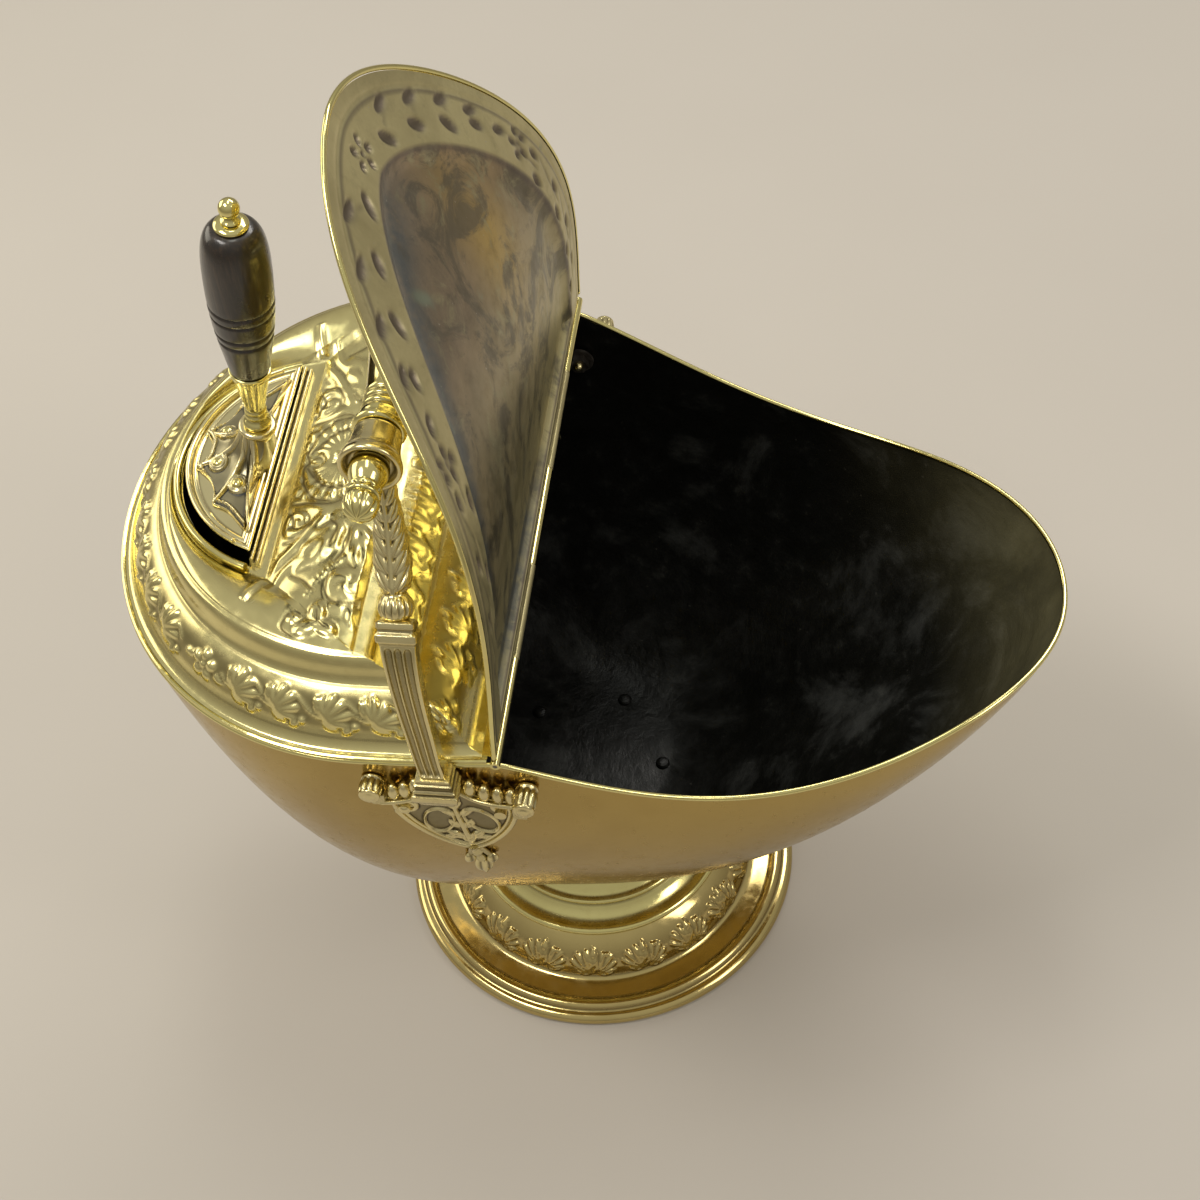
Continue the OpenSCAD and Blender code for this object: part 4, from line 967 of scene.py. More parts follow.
def add_foot():
    """The spun foot with its beads and leaves."""
    prof = [(104, 2), (108, 3), (107, 0.4), (117, 0), (119.4, 1.2), (120, 3.6), (119.2, 5.8),
            (117, 7.3), (114.6, 7.6), (113.4, 8.2), (112.8, 9.6), (111, 11.0), (108.4, 11.2),
            (106.8, 10.2), (106.0, 8.7), (104, 9.0), (98, 10.0), (93.6, 11.2), (92.0, 13.2),
            (90.8, 17.4), (88.6, 22.4), (85.4, 27.2), (81.4, 31.2), (77.4, 34), (74.2, 35.4)]
    p = chaikin(prof, 3)
    cum, a = along(p), turns(900)
    s = np.linspace(0, cum[-1], 230)
    p = at_distances(s, cum, p)
    P = round_grid(p, a)
    N = grid_normals(P)
    # clusters of leaves round the shoulder
    shoulder = s[np.argmin(np.abs(p[:, 0] - 88.6) + (p[:, 1] < 15) * 50)]
    pitch, first, radius = 2 * np.pi / FOOT_LEAVES, math.radians(-86.0), 88
    local = ((a - first + pitch / 2) % pitch - pitch / 2) * radius
    Y = (s - shoulder)[:, None] + 0 * local
    R = Relief(local + 0 * Y, Y)
    R.fan(-3, -7, 1.9, 16, 0.85, 4, 2.3)
    R.fan(3, -7, 1.15, 15, 0.8, 4, 2.3)
    R.petal(-1, -9, 1.5, 20, 3.6, 2.6, 3, 0.08)
    R.petal(-2, -9, 2.7, 10, 2.8, 1.9, 2)
    R.petal(3, -9, 0.3, 10, 2.8, 1.9, 2)
    R.bud(-7, -3, 2.4, 2.0, 0.4, 1.9)
    R.bud(8, -3, 2.2, 1.9, 0.4, 1.8)
    R.bud(8.5, 5, 2.0, 1.7, 0.4, 1.5)
    H = blur(R.H, 1, wrap_u=True)
    H *= unit((Y + 13) / 3) * unit((17 - Y) / 3)
    groove = sum(h * bell(p[:, :1] - r, w)
                 for r, w, h in ((105.6, 0.7, 0.6), (113.4, 0.6, 0.6), (92.6, 0.6, 0.45)))
    cav = np.maximum(hollows(H, 6, 1.4, True), groove)
    top = P + N * H[..., None] * np.sign(N[len(s) // 2, 0, 2])
    inner = chaikin([(104, 2), (104.6, 5.6), (103, 7.2), (97.8, 8.6), (91.6, 10.4), (90, 12.6),
                     (88.8, 16.9), (86.9, 21.8), (84.1, 26.4), (80.5, 30.2), (76.8, 32.9), (74.2, 34.0)], 2)
    ci = along(inner)
    Q = round_grid(at_distances(np.linspace(0, ci[-1], 60), ci, inner), a)
    G = np.concatenate([top, Q[::-1]])
    mesh_piece("spun_foot", G, grid_faces(*G.shape[:2], wrap_u=True, wrap_v=True), m_foot_painted_reflection, "scuttle",
               "foot", attrs={"cav": np.concatenate([cav, np.full(Q.shape[:2], 0.25)])},
               sharp=70)


def add_neck():
    """The spun neck between foot and bowl."""
    out = [(74.2, 35.45), (76.4, 35.6), (78.2, 36.6), (78.9, 38.2), (78.2, 40), (76.2, 41),
           (73.6, 41.4), (71.4, 42), (67.4, 44.6), (64.8, 47.4), (63.7, 48.4), (64.4, 49.2),
           (64.6, 50.2), (64.2, 51.2), (62.6, 52.0), (60.6, 52.6), (57.6, 55.4), (52.6, 60.4),
           (47.4, 67), (43.2, 74.6), (40.6, 82), (40, 87.4), (41.2, 88.6), (42, 90.2), (42, 92),
           (41.2, 93.6), (40, 95.0), (41.2, 100), (44.6, 105.6), (49.4, 110.2), (53, 112.38)]
    inn = [(38, 112.36), (38, 110.9), (46.6, 110.8), (43.6, 106.6), (39.8, 100.6), (38.2, 95.6),
           (38.4, 88), (39, 81.6), (41.8, 73.8), (46.2, 66), (51.6, 59.4), (56.8, 54.2), (60.4, 50.6),
           (63.4, 46.6), (66.6, 43.2), (70.8, 40.4), (73.4, 38.6)]
    p = np.concatenate([chaikin(out, 3), chaikin(inn, 1)])
    outside = np.arange(len(p)) < len(chaikin(out, 3))
    cav = np.zeros(len(p))
    for zc, w in ((42.0, 0.6), (48.0, 0.7), (52.3, 0.6), (87.6, 0.6), (94.9, 0.6)):
        cav += 0.6 * bell(p[:, 1] - zc, w) * outside
    cav += 0.3 * ~outside
    P = round_grid(p, turns(240))
    mesh_piece("spun_neck", P, grid_faces(*P.shape[:2], wrap_u=True, wrap_v=True), m_brass, "scuttle",
               "foot_neck", attrs={"cav": unit(cav)[:, None] + 0 * P[..., 0]}, sharp=60)


# ---------------------------------------------------------------- castings and turned pieces
FAR_SIDE = np.array([1.0, -1.0, 1.0])
OUTWARDS = (0, -1, 0)  # towards the near side


class Parts:
    """Collects closed grids, with their hollows, into one piece."""

    def __init__(self):
        self.v, self.f, self.c, self.n = [], [], [], 0

    def add(self, v, faces, cav=0.0):
        v = np.asarray(v, float).reshape(-1, 3)
        self.v.append(v)
        self.f += [np.asarray(g) + self.n for g in faces]
        self.c.append(np.broadcast_to(np.asarray(cav, float).ravel(), (len(v),)))
        self.n += len(v)

    def rings(self, P, cav=0.0, flip=False):
        """Closed rings, capped at both ends."""
        m, n = P.shape[:2]
        i = np.arange(n)
        first, last = np.array([i[::-1]]), np.array([(m - 1) * n + i])
        if flip:
            first, last = first[:, ::-1], last[:, ::-1]
        self.add(P, [grid_faces(m, n, wrap_u=True, flip=flip), first, last], cav)

    def slab(self, face, back, cav=0.0):
        """A plate between two open grids; the face is seen with u to the right and v up."""
        m, n = face.shape[:2]
        o = m * n
        a = np.arange(m)[:-1] * n
        i = np.arange(n - 1)
        t = (m - 1) * n
        sides = [np.stack([i, o + i, o + i + 1, i + 1], -1),
                 np.stack([t + i, t + i + 1, o + t + i + 1, o + t + i], -1),
                 np.stack([a, a + n, o + a + n, o + a], -1),
                 np.stack([a + n - 1, o + a + n - 1, o + a + 2 * n - 1, a + 2 * n - 1], -1)]
        cav2 = np.concatenate([np.broadcast_to(cav, (m, n)).ravel(), np.zeros(o)])
        self.add(np.concatenate([face.reshape(-1, 3), back.reshape(-1, 3)]),
                 [grid_faces(m, n), grid_faces(m, n, flip=True, base=o), *sides], cav2)

    def ball(self, centre, radii, cav=0.0, n=28, lobes=0, depth=0.0, axis=2):
        """An egg with its poles along one axis, lobed if asked."""
        t = np.linspace(0.02, np.pi - 0.02, n // 2 + 2)[:, None]
        a = turns(n)[None]
        r = np.sin(t) * (1 - depth * (0.5 - 0.5 * np.cos(lobes * a)))
        q = [r * np.cos(a), r * np.sin(a), -np.cos(t) + 0 * a]
        q = np.stack([q[(k - axis - 1) % 3] for k in range(3)], -1)
        dark = np.maximum(cav, (0.5 - 0.5 * np.cos(lobes * a)) ** 3 * 0.8 * (depth > 0) + 0 * t)
        self.rings(np.asarray(centre, float) + q * np.asarray(radii, float), dark)

    def mirrored(self):
        """The same parts on the far side."""
        q = Parts()
        q.v = [v * FAR_SIDE for v in self.v]
        q.f = [g[:, ::-1] for g in self.f]
        q.c, q.n = self.c, self.n
        return q

    def piece(self, name, mat, body, slot, node, sharp=50):
        mesh_piece(name, np.vstack(self.v), self.f, mat, body, node,
                   attrs={"cav": np.concatenate(self.c)}, sharp=sharp)


def turn(parts, profile, origin, direction, n=96, step=0.5, relief=None, gain=1.6):
    """Adds a turned solid: an outline of (radius, distance) about an axis, bottom first.

    relief(distance, angle) is added to its radius, gain is how dark its grooves are.
    """
    p = resample(chaikin(profile, 2), step)
    t = unit_rows(np.gradient(p, axis=0))
    out = np.stack([t[:, 1], -t[:, 0]], 1)
    cav = unit(((eased(p, 14) - p) * out).sum(1) * gain)[:, None] * np.ones(n)
    a = turns(n)
    R = p[:, :1] + 0 * a
    if relief is not None:
        h = relief(p[:, 1:2], a[None]) * unit(p[:, :1] / 2.0)
        R = np.maximum(R + h, 0.01)
        cav = unit(cav + hollows(h, 4, 2.2, True))
    d = np.asarray(direction, float) / np.linalg.norm(direction)
    e1 = np.cross([0.0, 1.0, 0.0], d)
    if np.linalg.norm(e1) < 1e-3:
        e1 = np.cross([0.0, 0.0, 1.0], d)
    e1 /= np.linalg.norm(e1)
    ring = np.cos(a)[:, None] * e1 + np.sin(a)[:, None] * np.cross(d, e1)
    parts.rings(np.asarray(origin, float) + R[..., None] * ring[None] + p[:, None, 1:2] * d, cav)


def turned_piece(name, mat, body, slot, node, profile, origin, direction, **how):
    """One turned piece, straight into the scene."""
    q = Parts()
    turn(q, profile, origin, direction, **how)
    q.piece(name, mat, body, slot, node)


def rounded(hx, hy, r, k=5):
    """Rectangle with round corners and a support point beside each, anticlockwise."""
    pts = []
    for q, (sx, sy) in enumerate(((1, 1), (-1, 1), (-1, -1), (1, -1))):
        a = np.radians(90 * q + np.linspace(0, 90, k))
        c = np.array([sx * (hx - r), sy * (hy - r)])
        arc = c + r * np.stack([np.cos(a), np.sin(a)], 1)
        before, after = arc[0].copy(), arc[-1].copy()
        t0 = np.array([-np.sin(a[0]), np.cos(a[0])])
        t1 = np.array([-np.sin(a[-1]), np.cos(a[-1])])
        pts += [before - 0.5 * t0, *arc, after + 0.5 * t1]
    return np.array(pts)


# ---------------------------------------------------------------- brackets
ARM_X, ARM_Z, LEAN = -36.8, 333.1, 0.0955
BARREL_END, PLINTH_BACK = 165.0, 153.8  # distances from the middle line


def lean_x(z):
    """How far towards the lip the arms stand at height z."""
    return ARM_X - LEAN * (z - ARM_Z)


def wall(x, z):
    """Distance of the bowl's outside from the middle line."""
    h = np.clip((z - BOWL_Z) / (RIM - BOWL_Z), 0, 0.999)
    clear = 0.25
    return BOWL_R + (half_at(x) + SHEET / 2 - BOWL_R) * (1 - (1 - h) ** 2.19) ** (1 / 2.185) + clear


def ledge_z(u):
    """Height of the ledge, which sweeps up under the arm."""
    return 301.5 + 16.4 * np.exp(-np.maximum(0, np.abs(u) - 6.5) / 9.6) - 0.04 * u


def on_wall(u, z, out):
    """Points u beside the arm's middle at height z, out from the bowl's wall."""
    x = lean_x(z) + u
    return np.stack([x, -(wall(x, z) + out), z + 0 * x], -1)


def shield_relief(U, Z, D):
    """Double border, two sunk ovals, a leafy stem and corner scrolls."""
    R = Relief(U, Z)
    for s in (1, -1):
        R.scroll(s * 23.0, 294.5, 5.6, 1.3, math.pi / 2, s, 1.5, 0.8, 1.7)
        R.petal(s * 18.0, 297, math.pi / 2 - s * 1.9, 9, 2.2, 1.3, 2)
        R.petal(s * 1.0, 262, math.pi / 2 - s * 0.75, 13, 2.9, 1.9, 3, 0.06)
        R.petal(s * 1.0, 274, math.pi / 2 - s * 0.60, 11, 2.6, 1.8, 3, 0.06)
        R.petal(s * 1.0, 286, math.pi / 2 - s * 0.80, 12, 2.6, 1.7, 3, 0.06)
        R.petal(s * 2.0, 264, math.pi / 2 - s * 1.6, 12, 2.2, 1.5, 3)
        R.bud(s * 5.2, 268.5, 1.9, 1.9, 0, 2.2)
    R.petal(0, 292, math.pi / 2, 20, 4.2, 2.0, 3, 0.05)
    R.stroke([(0, 253), (0, 296)], 1.8, 1.2, 2.1)
    R.bud(0, 262, 3.4, 4.2, 0, 2.4, folds=3)
    H = R.H
    for s in (1, -1):
        x, y = U - s * 10.2, Z - 281.5
        c, q = math.cos(0.3 * s), math.sin(0.3 * s)
        e = np.hypot((x * c + y * q) / 6.6, (y * c - x * q) / 11.0)
        H = np.where(e < 1.0, H * unit((e - 0.55) / 0.4), H)
        H = np.maximum(H, 1.7 * bell(e - 1.08, 0.10))
    H *= unit((D - 4.5) / 1.5)
    H = np.maximum(H, 1.9 * np.sqrt(unit(1 - ((D - 1.7) / 1.4) ** 2)))
    return np.maximum(H, 1.3 * np.sqrt(unit(1 - ((D - 4.5) / 0.9) ** 2)))


def add_brackets():
    """Both cast brackets; the far one is the near one mirrored."""
    q = Parts()
    nu, nz = 250, 210
    a, b = np.linspace(-1, 1, nu)[None], np.linspace(0, 1, nz)[:, None]
    U = 30.5 * a + 0 * b
    low = 291.5 - 41 * (1 - np.abs(a) ** 1.5) ** (2 / 3)
    Z = low + (ledge_z(U) - low) * b
    UZ = np.stack([U, Z], -1)
    edge = np.concatenate([UZ[0], UZ[:, -1], UZ[-1, ::-1], UZ[::-1, 0]])[::2]
    D = np.full(U.shape, 99.0)
    for p in edge:
        D = np.minimum(D, np.hypot(U - p[0], Z - p[1]))
    H = blur(shield_relief(U, Z, D), 1)
    hollow = hollows(H, 8, 1.6) + 0.7 * (H < 0.35) * (D > 5)
    out = (1.7 + H) * np.sqrt(1 - (1 - unit(D / 0.9)) ** 2)
    q.slab(on_wall(U, Z, out), on_wall(U, Z, -0.2 + 0 * U), unit(hollow))
    # ledge
    prof = chaikin([(-0.4, -2.4), (3.4, -2.4), (5.0, -1.7), (5.4, -0.6), (7.3, -0.3), (8.3, 0.6),
                    (8.2, 1.7), (7.2, 2.4), (5.6, 2.2), (5.0, 2.7), (-0.4, 2.8)], 2)
    u = np.linspace(-32, 32, 130)[:, None]
    z = ledge_z(u)
    P = on_wall(u + 0 * prof[None, :, 0], z + prof[None, :, 1], prof[None, :, 0] + 0 * u)
    q.rings(P, np.clip(-prof[:, 1] * 0.2, 0, 0.6)[None] + 0 * u, flip=True)
    # egg-shaped beads
    for u in (-25, -19, -13, 12.6, 18.6, 24.6, 30.6):
        z = ledge_z(u)
        q.ball(on_wall(np.array(u), z + 6.8, 4.4), (3.1, 3.3, 5.6), n=26)
        q.ball(on_wall(np.array(u), z + 3.0, 4.4), (2.4, 2.6, 1.4), 0.5, n=18)
    # ribbed barrels with a rosette on their ends
    for u, z in ((-35, 314.5), (38, 309)):
        x = lean_x(z) + u
        y0 = half_at(x) + 0.9
        k = (BARREL_END - y0) / 13.0

        def ribs(d, a):
            body = unit((d / k - 2.4) / 0.5) * unit((10.6 - d / k) / 0.5)
            return -0.9 * (0.5 - 0.5 * np.cos(9 * a)) ** 2 * body
        turn(q, [(0.02, 0), (5.2, 0), (5.8, 0.7 * k), (5.6, 1.8 * k), (5.0, 2.2 * k), (5.6, 3.2 * k),
                 (6.0, 6.5 * k), (5.5, 10 * k), (4.9, 10.8 * k), (5.2, 11.4 * k), (4.6, 12.2 * k),
                 (3.0, 12.2 * k), (2.4, 12.9 * k), (0.02, 13 * k)],
             (x, -y0, z), OUTWARDS, n=72, relief=ribs)
        ring = rounded(3.4, 3.9, 0.8)
        rows = [(z - 10, 0.0), (z - 9.2, 0.3), (z - 4, 0.3), (z - 2.4, 0.0)]
        middle = x - math.copysign(2.8, u)
        q.rings(np.stack([np.stack([middle + ring[:, 0] * (1 + g / 8), -157.6 + ring[:, 1],
                                    np.full(len(ring), h)], -1) for h, g in rows]), 0.2)
    # stepped plinth under the arm
    def ring_of(h, hx, front):
        ring = rounded(hx, (front - PLINTH_BACK) / 2, 0.7) + np.array([ARM_X, -(front + PLINTH_BACK) / 2])
        return np.concatenate([ring, np.full((len(ring), 1), h)], 1)
    rows = [(311.0, 6.0, 163.6), (313.0, 8.2, 165.6), (315.0, 8.8, 166.2), (317.6, 9.0, 166.5),
            (318.0, 9.2, 166.8), (318.3, 10.4, 168.0), (318.8, 10.9, 168.4), (322.3, 11.0, 168.4),
            (322.9, 10.6, 168.1), (323.1, 9.4, 167.0), (323.5, 9.3, 166.8), (324.6, 9.3, 166.8),
            (325.0, 9.9, 167.3), (325.5, 10.0, 167.4), (326.0, 9.6, 167.1), (326.4, 8.9, 166.3),
            (329.0, 8.7, 166.1), (329.5, 9.0, 166.4), (330.2, 9.0, 166.4), (330.6, 8.2, 165.6),
            (332.8, 8.0, 165.4), (333.0, 7.0, 164.5)]
    dark = np.array([0.3, 0.2, 0.1, 0.2, 0.7, 0.3, 0, 0, 0, 0.8, 0.8,
                     0.5, 0, 0, 0.2, 0.8, 0.4, 0, 0, 0.6, 0.2, 0.2])
    plinth = np.stack([ring_of(*r) for r in rows])
    q.rings(plinth, dark[:, None] + 0 * plinth[..., 0])
    # stem and bud under the shield
    z = np.linspace(254, 238, 14)
    girth = 2.5 + 0.7 * np.cos((z - 246) * 0.8)
    q.add(*tube_parts(on_wall(0 * z, z, 1.6 + 0 * z), girth, 16, up=(1, 0, 0)), 0.25)
    for s in (-1, 1):
        q.ball(on_wall(np.array(s * 5.6), 237.8, 2.0), (3.4, 2.8, 3.9), n=24, lobes=3, depth=0.25)
        z = np.linspace(250, 240, 10)
        line = on_wall(s * (2.0 + (250 - z) * 0.30), z, 1.4 + 0 * z)
        q.add(*tube_parts(line, 1.4, 10, up=(1, 0, 0)), 0.35)
    for u in (-23.8, 23.2):
        q.ball(on_wall(np.array(u), 295.0, 3.6), (2.9, 2.6, 2.9), n=22)
    q.ball(on_wall(np.array(0.0), 231.4, 2.4), (5.0, 4.2, 7.6), n=40, lobes=5, depth=0.28)
    q.ball(on_wall(np.array(0.0), 222.8, 1.6), (1.9, 1.9, 2.2), n=16)
    q.piece("cast_bracket_near", m_cast, "scuttle", "cast_brass", "near_bracket")
    q.mirrored().piece("cast_bracket_far", m_cast, "scuttle", "cast_brass", "far_bracket")


# ---------------------------------------------------------------- arms, grip and end nuts
GRIP_X, GRIP_Z, EYE_Y, NUT_Y = -51.4, 488.2, 90.6, 108.1
SPINE = np.array([  # distance from the middle line, height
    (159.4, 333.1), (159.2, 345), (157.4, 360), (155, 378), (151.6, 394), (146.4, 408), (140.4, 417),
    (137.6, 420.2), (134.6, 423.6), (131.6, 427), (128.8, 430.2), (123.4, 436.4), (116.2, 446),
    (109.6, 456), (104.4, 466), (101.4, 476), (100.4, 481.6)])
SHAFT = np.array([  # height, half width, half depth
    (332.6, 6.0, 4.9), (345, 6.1, 4.6), (360, 6.5, 4.3), (378, 6.9, 4.2), (394, 7.4, 4.2), (408, 7.9, 4.3),
    (411.4, 8.0, 4.4), (412.2, 8.3, 4.8), (412.8, 9.0, 6.0), (413.4, 9.2, 6.4), (415.4, 9.2, 6.4),
    (416.0, 8.6, 5.8), (416.6, 8.0, 5.2), (417.4, 7.9, 5.1), (418.0, 8.5, 5.8), (419.2, 8.5, 5.8),
    (419.8, 7.6, 5.0), (420.4, 5.0, 3.6)])


def spine_at(z):
    """An arm's middle line at height z: points, directions along it and directions outwards."""
    c = spline(SPINE, 600)
    y = np.interp(z, c[:, 1], c[:, 0])
    dy = np.interp(z + 0.5, c[:, 1], c[:, 0]) - np.interp(z - 0.5, c[:, 1], c[:, 0])
    t = np.stack([0 * z, -dy, 1 + 0 * z], -1)
    t /= np.linalg.norm(t, axis=-1, keepdims=True)
    out = np.stack([0 * z, -t[:, 2], t[:, 1]], -1)
    return np.stack([lean_x(z), -y, z], -1), t, out


def add_shaft(q):
    """The fluted shaft of an arm."""
    z = np.unique(np.concatenate([np.linspace(332.6, 420.4, 190), SHAFT[:, 0]]))
    c, _, out = spine_at(z)
    h, d = np.interp(z, SHAFT[:, 0], SHAFT[:, 1])[:, None], np.interp(z, SHAFT[:, 0], SHAFT[:, 2])[:, None]
    x = np.linspace(-1, 1, 66)[None]
    reach = np.maximum(0, z - 408.8)[:, None] + np.maximum(0, 336.5 - z)[:, None]
    groove = 0 * x * z[:, None]
    for k in (-0.56, 0.0, 0.56):
        away = np.hypot((x - k) * h, reach) / (0.225 * h)
        groove = np.maximum(groove, np.sqrt(unit(1 - away ** 2)))
    face = d - 1.7 * groove - 0.9 * np.abs(x) ** 14
    k = len(x[0])
    side = np.linspace(1, -1, 8)[None, 1:]
    X = np.concatenate([x * h, h + 0 * side, np.linspace(1, -1, 12)[None, 1:-1] * h, -h + 0 * side], 1)
    back = -(d - 0.9) + np.zeros((len(z), 10))
    O = np.concatenate([face, side * (d - 0.9), back, -side * (d - 0.9)], 1)
    cav = np.zeros(X.shape)
    cav[:, :k] = 0.5 * unit(groove * 1.4 - 0.25)
    cav += 0.6 * bell(z - 417.0, 0.7)[:, None] + 0.5 * bell(z - 412.0, 0.5)[:, None]
    P = c[:, None] + O[..., None] * out[:, None] + X[..., None] * np.array([1.0, 0, 0])
    q.rings(P, unit(cav))


def add_leaf(q):
    """The leaf round the arm's upper end."""
    z = np.linspace(428.6, 484.0, 190)
    c, _, out = spine_at(z)
    s = along(c)
    f = s / s[-1]
    h = np.interp(f, [0, 0.05, 0.2, 0.35, 0.5, 0.7, 0.85, 1], [4.2, 6.6, 7.6, 7.0, 5.8, 4.6, 3.9, 4.2])
    h = (h + 0.8 * np.abs(np.sin(6 * np.pi * f)) * (1 - f) ** 0.5 * (f > 0.04))[:, None]
    d = np.interp(f, [0, 0.05, 0.3, 0.6, 0.85, 1], [3.8, 4.6, 4.4, 4.0, 3.8, 4.6])[:, None]
    a = turns(150)[None] - np.pi
    Y = a * 0.5 * (h + d)
    X = s[:, None] + 0 * Y
    half_turn = np.pi * 0.5 * (h + d)
    R = Relief(X, Y)
    B = Relief(X, np.where(Y > 0, Y - half_turn, Y + half_turn))
    for k in range(6):
        x0, grow = 1.0 + 8.0 * k, 1 - 0.06 * k
        for sgn in (1, -1):
            for F in (R, B):
                F.petal(x0, sgn * 1.0, sgn * 0.42, 19.0 * grow, 2.5 * grow, 1.8, 1, groove=0.45)
                F.petal(x0 + 3, sgn * 3.2, sgn * 0.75, 10.0 * grow, 1.8 * grow, 1.3, 1, groove=0.3)
    for F in (R, B):
        F.stroke([(0, 0), (s[-1] - 3, 0)], 1.3, 0.8, 1.5)
    H = blur(np.maximum(R.H, B.H), 1, wrap_u=True)
    H *= unit((s[-1] - s) / 6)[:, None]
    hollow = hollows(H, 6, 1.9, True) + 0.25 * (H < 0.2)
    ox, oo = np.sin(a) * h, np.cos(a) * d
    norm = unit_rows(np.stack([np.sin(a) / h, np.cos(a) / d], -1))
    ox, oo = ox + norm[..., 0] * H, oo + norm[..., 1] * H
    P = c[:, None] + oo[..., None] * out[:, None] + ox[..., None] * np.array([1.0, 0, 0])
    q.rings(P, unit(hollow))


def add_arms():
    """Both cast arms; the far one is the near one mirrored."""
    q = Parts()
    add_shaft(q)
    add_leaf(q)
    # gadrooned collar between the cap and the leaf
    low, high = spine_at(np.array([420.0]))[0][0], spine_at(np.array([429.6]))[0][0]
    span = np.linalg.norm(high - low)
    turn(q, [(0.02, 0), (4.4, 0), (5.6, 0.4), (7.2, 2.0), (8.2, 4.6), (8.1, 7.0), (6.9, 9.6),
             (5.4, 11.2), (5.6, 12.0), (0.02, span)], low, high - low, n=108,
         relief=lambda d, a: -0.75 * (0.5 - 0.5 * np.cos(14 * a)) ** 3 * np.sin(np.pi * unit(d / 11)))
    # bell-shaped eye with a hollow face
    turn(q, [(0.02, 0.2), (10.3, 0.2), (10.7, 1.2), (10.8, 4), (11.4, 9), (12.4, 13.4), (12.2, 14.4),
             (13.2, 15.2), (14.0, 17.6), (14.1, 19.2), (13.6, 20.4), (12.6, 20.7), (11.7, 20.0),
             (11.0, 18.6), (10.6, 17.2), (9.2, 16.4), (7.8, 16.9), (0.02, 16.9)],
         (GRIP_X, -EYE_Y, GRIP_Z), OUTWARDS, n=110)
    for s in (-1, 1):
        q.ball((lean_x(478.0) + s * 7.6, -104.5, 478.6), (3.2, 3.6, 3.4), n=30, lobes=6, depth=0.3, axis=0)
        q.ball((lean_x(474.0) + s * 5.4, -104.0, 474.6), (2.6, 2.6, 2.6), 0.3, n=18)
    q.piece("cast_arm_near", m_cast, "scuttle", "cast_brass", "near_handle_arm")
    q.mirrored().piece("cast_arm_far", m_cast, "scuttle", "cast_brass", "far_handle_arm")


def add_grip():
    """The turned grip between the arms."""
    half = [(0, 16), (14, 15.7), (28, 14.8), (42, 13.2), (54, 11.4), (62, 10.4), (67, 10.0),
            (70.6, 10.1), (71.2, 9.1), (72.8, 9.1), (73.2, 10.1), (75, 10.1), (75.4, 9.1), (76.8, 9.1),
            (77.2, 10.1), (79, 10.1), (79.4, 9.1), (80.8, 9.1), (81.2, 10.1), (85.8, 10.0),
            (86.4, 10.4), (86.8, 11.7), (87.6, 12.1), (88.8, 12.1), (89.6, 11.6), (90.2, 10.9),
            (90.4, 9.0)]
    prof = [(0.02, -90.4)] + [(r, -y) for y, r in half[:0:-1]] + [(r, y) for y, r in half] + [(0.02, 90.4)]
    turned_piece("turned_grip", m_turned, "scuttle", "polished_brass", "handle_grip", prof,
                 (GRIP_X, 0, GRIP_Z), OUTWARDS, n=128, step=0.4, gain=2.2)


def nut_relief(d, a):
    """Lobed dome and a band with round dimples."""
    dome = -0.9 * (0.5 - 0.5 * np.cos(8 * a)) ** 4 * unit((d - 19.4) / 3)
    spot = np.hypot((a * 11 / (2 * np.pi) % 1 - 0.5) * 4.1, d - 16.0)
    return dome - 1.0 * unit(1 - (spot / 1.1) ** 2)


def add_nuts():
    """The two turned nuts on the grip's ends."""
    q = Parts()
    turn(q, [(0.02, 0), (8.2, 0), (8.8, 1.2), (8.9, 4), (8.4, 8), (6.8, 11.6), (6.2, 12.8), (6.4, 13.4),
             (7.4, 13.8), (7.6, 14.4), (7.4, 15), (7.5, 17.2), (7.7, 17.8), (7.4, 18.5), (6.7, 18.8),
             (7.4, 19.8), (8.0, 21.6), (8.0, 23.6), (7.2, 26), (5.6, 28.2), (3.2, 29.6), (1.6, 30.2),
             (0.02, 30.4)],
         (GRIP_X, -NUT_Y, GRIP_Z), OUTWARDS, n=110, step=0.35, relief=nut_relief)
    q.add(q.v[0] * FAR_SIDE, [g[:, ::-1] for g in q.f], q.c[0])
    q.piece("turned_end_nuts", m_turned, "scuttle", "polished_brass", "grip_end_nuts")


# ---------------------------------------------------------------- scoop
PLATE_Z = SLOT_Z + 6.8
SCOOP_X = SLOT_X - 6.6
HANDLE_LEAN = math.radians(6.6)
HANDLE_DIR = (math.sin(HANDLE_LEAN), 0.0, math.cos(HANDLE_LEAN))
SOCKET = (SCOOP_X, 0.0, PLATE_Z + 1.25)
TIPS = np.array([(5.6, 53.8), (-17, 35.5), (-31, 12)])
RIVETS = ((-6, 23.6), (-19, 10.5))
WING_X = -6.0


def wing_outline(ang):
    """Distance of the wing's scalloped edge from its centre (WING_X, 0), at angles from it."""
    side = [(5.6, 0)]
    for k, (curve, n) in enumerate((([(1.8, 15.8), (0.4, 34), TIPS[0]], 24),
                                    ([TIPS[0], (-1.4, 46.4), (-8.4, 39.4), TIPS[1]], 24),
                                    ([TIPS[1], (-17.8, 28), (-22.6, 19), TIPS[2]], 24),
                                    ([TIPS[2], (-26.6, 5), (-25.8, 0)], 14))):
        side += [tuple(p) for p in spline(curve, n)[min(k, 1):]]
    side = np.array(side) - np.array([WING_X, 0.0])
    a, r = np.arctan2(side[:, 1], side[:, 0]), np.hypot(side[:, 0], side[:, 1])
    order = np.argsort(a)
    return np.interp(np.abs(ang), a[order], r[order])


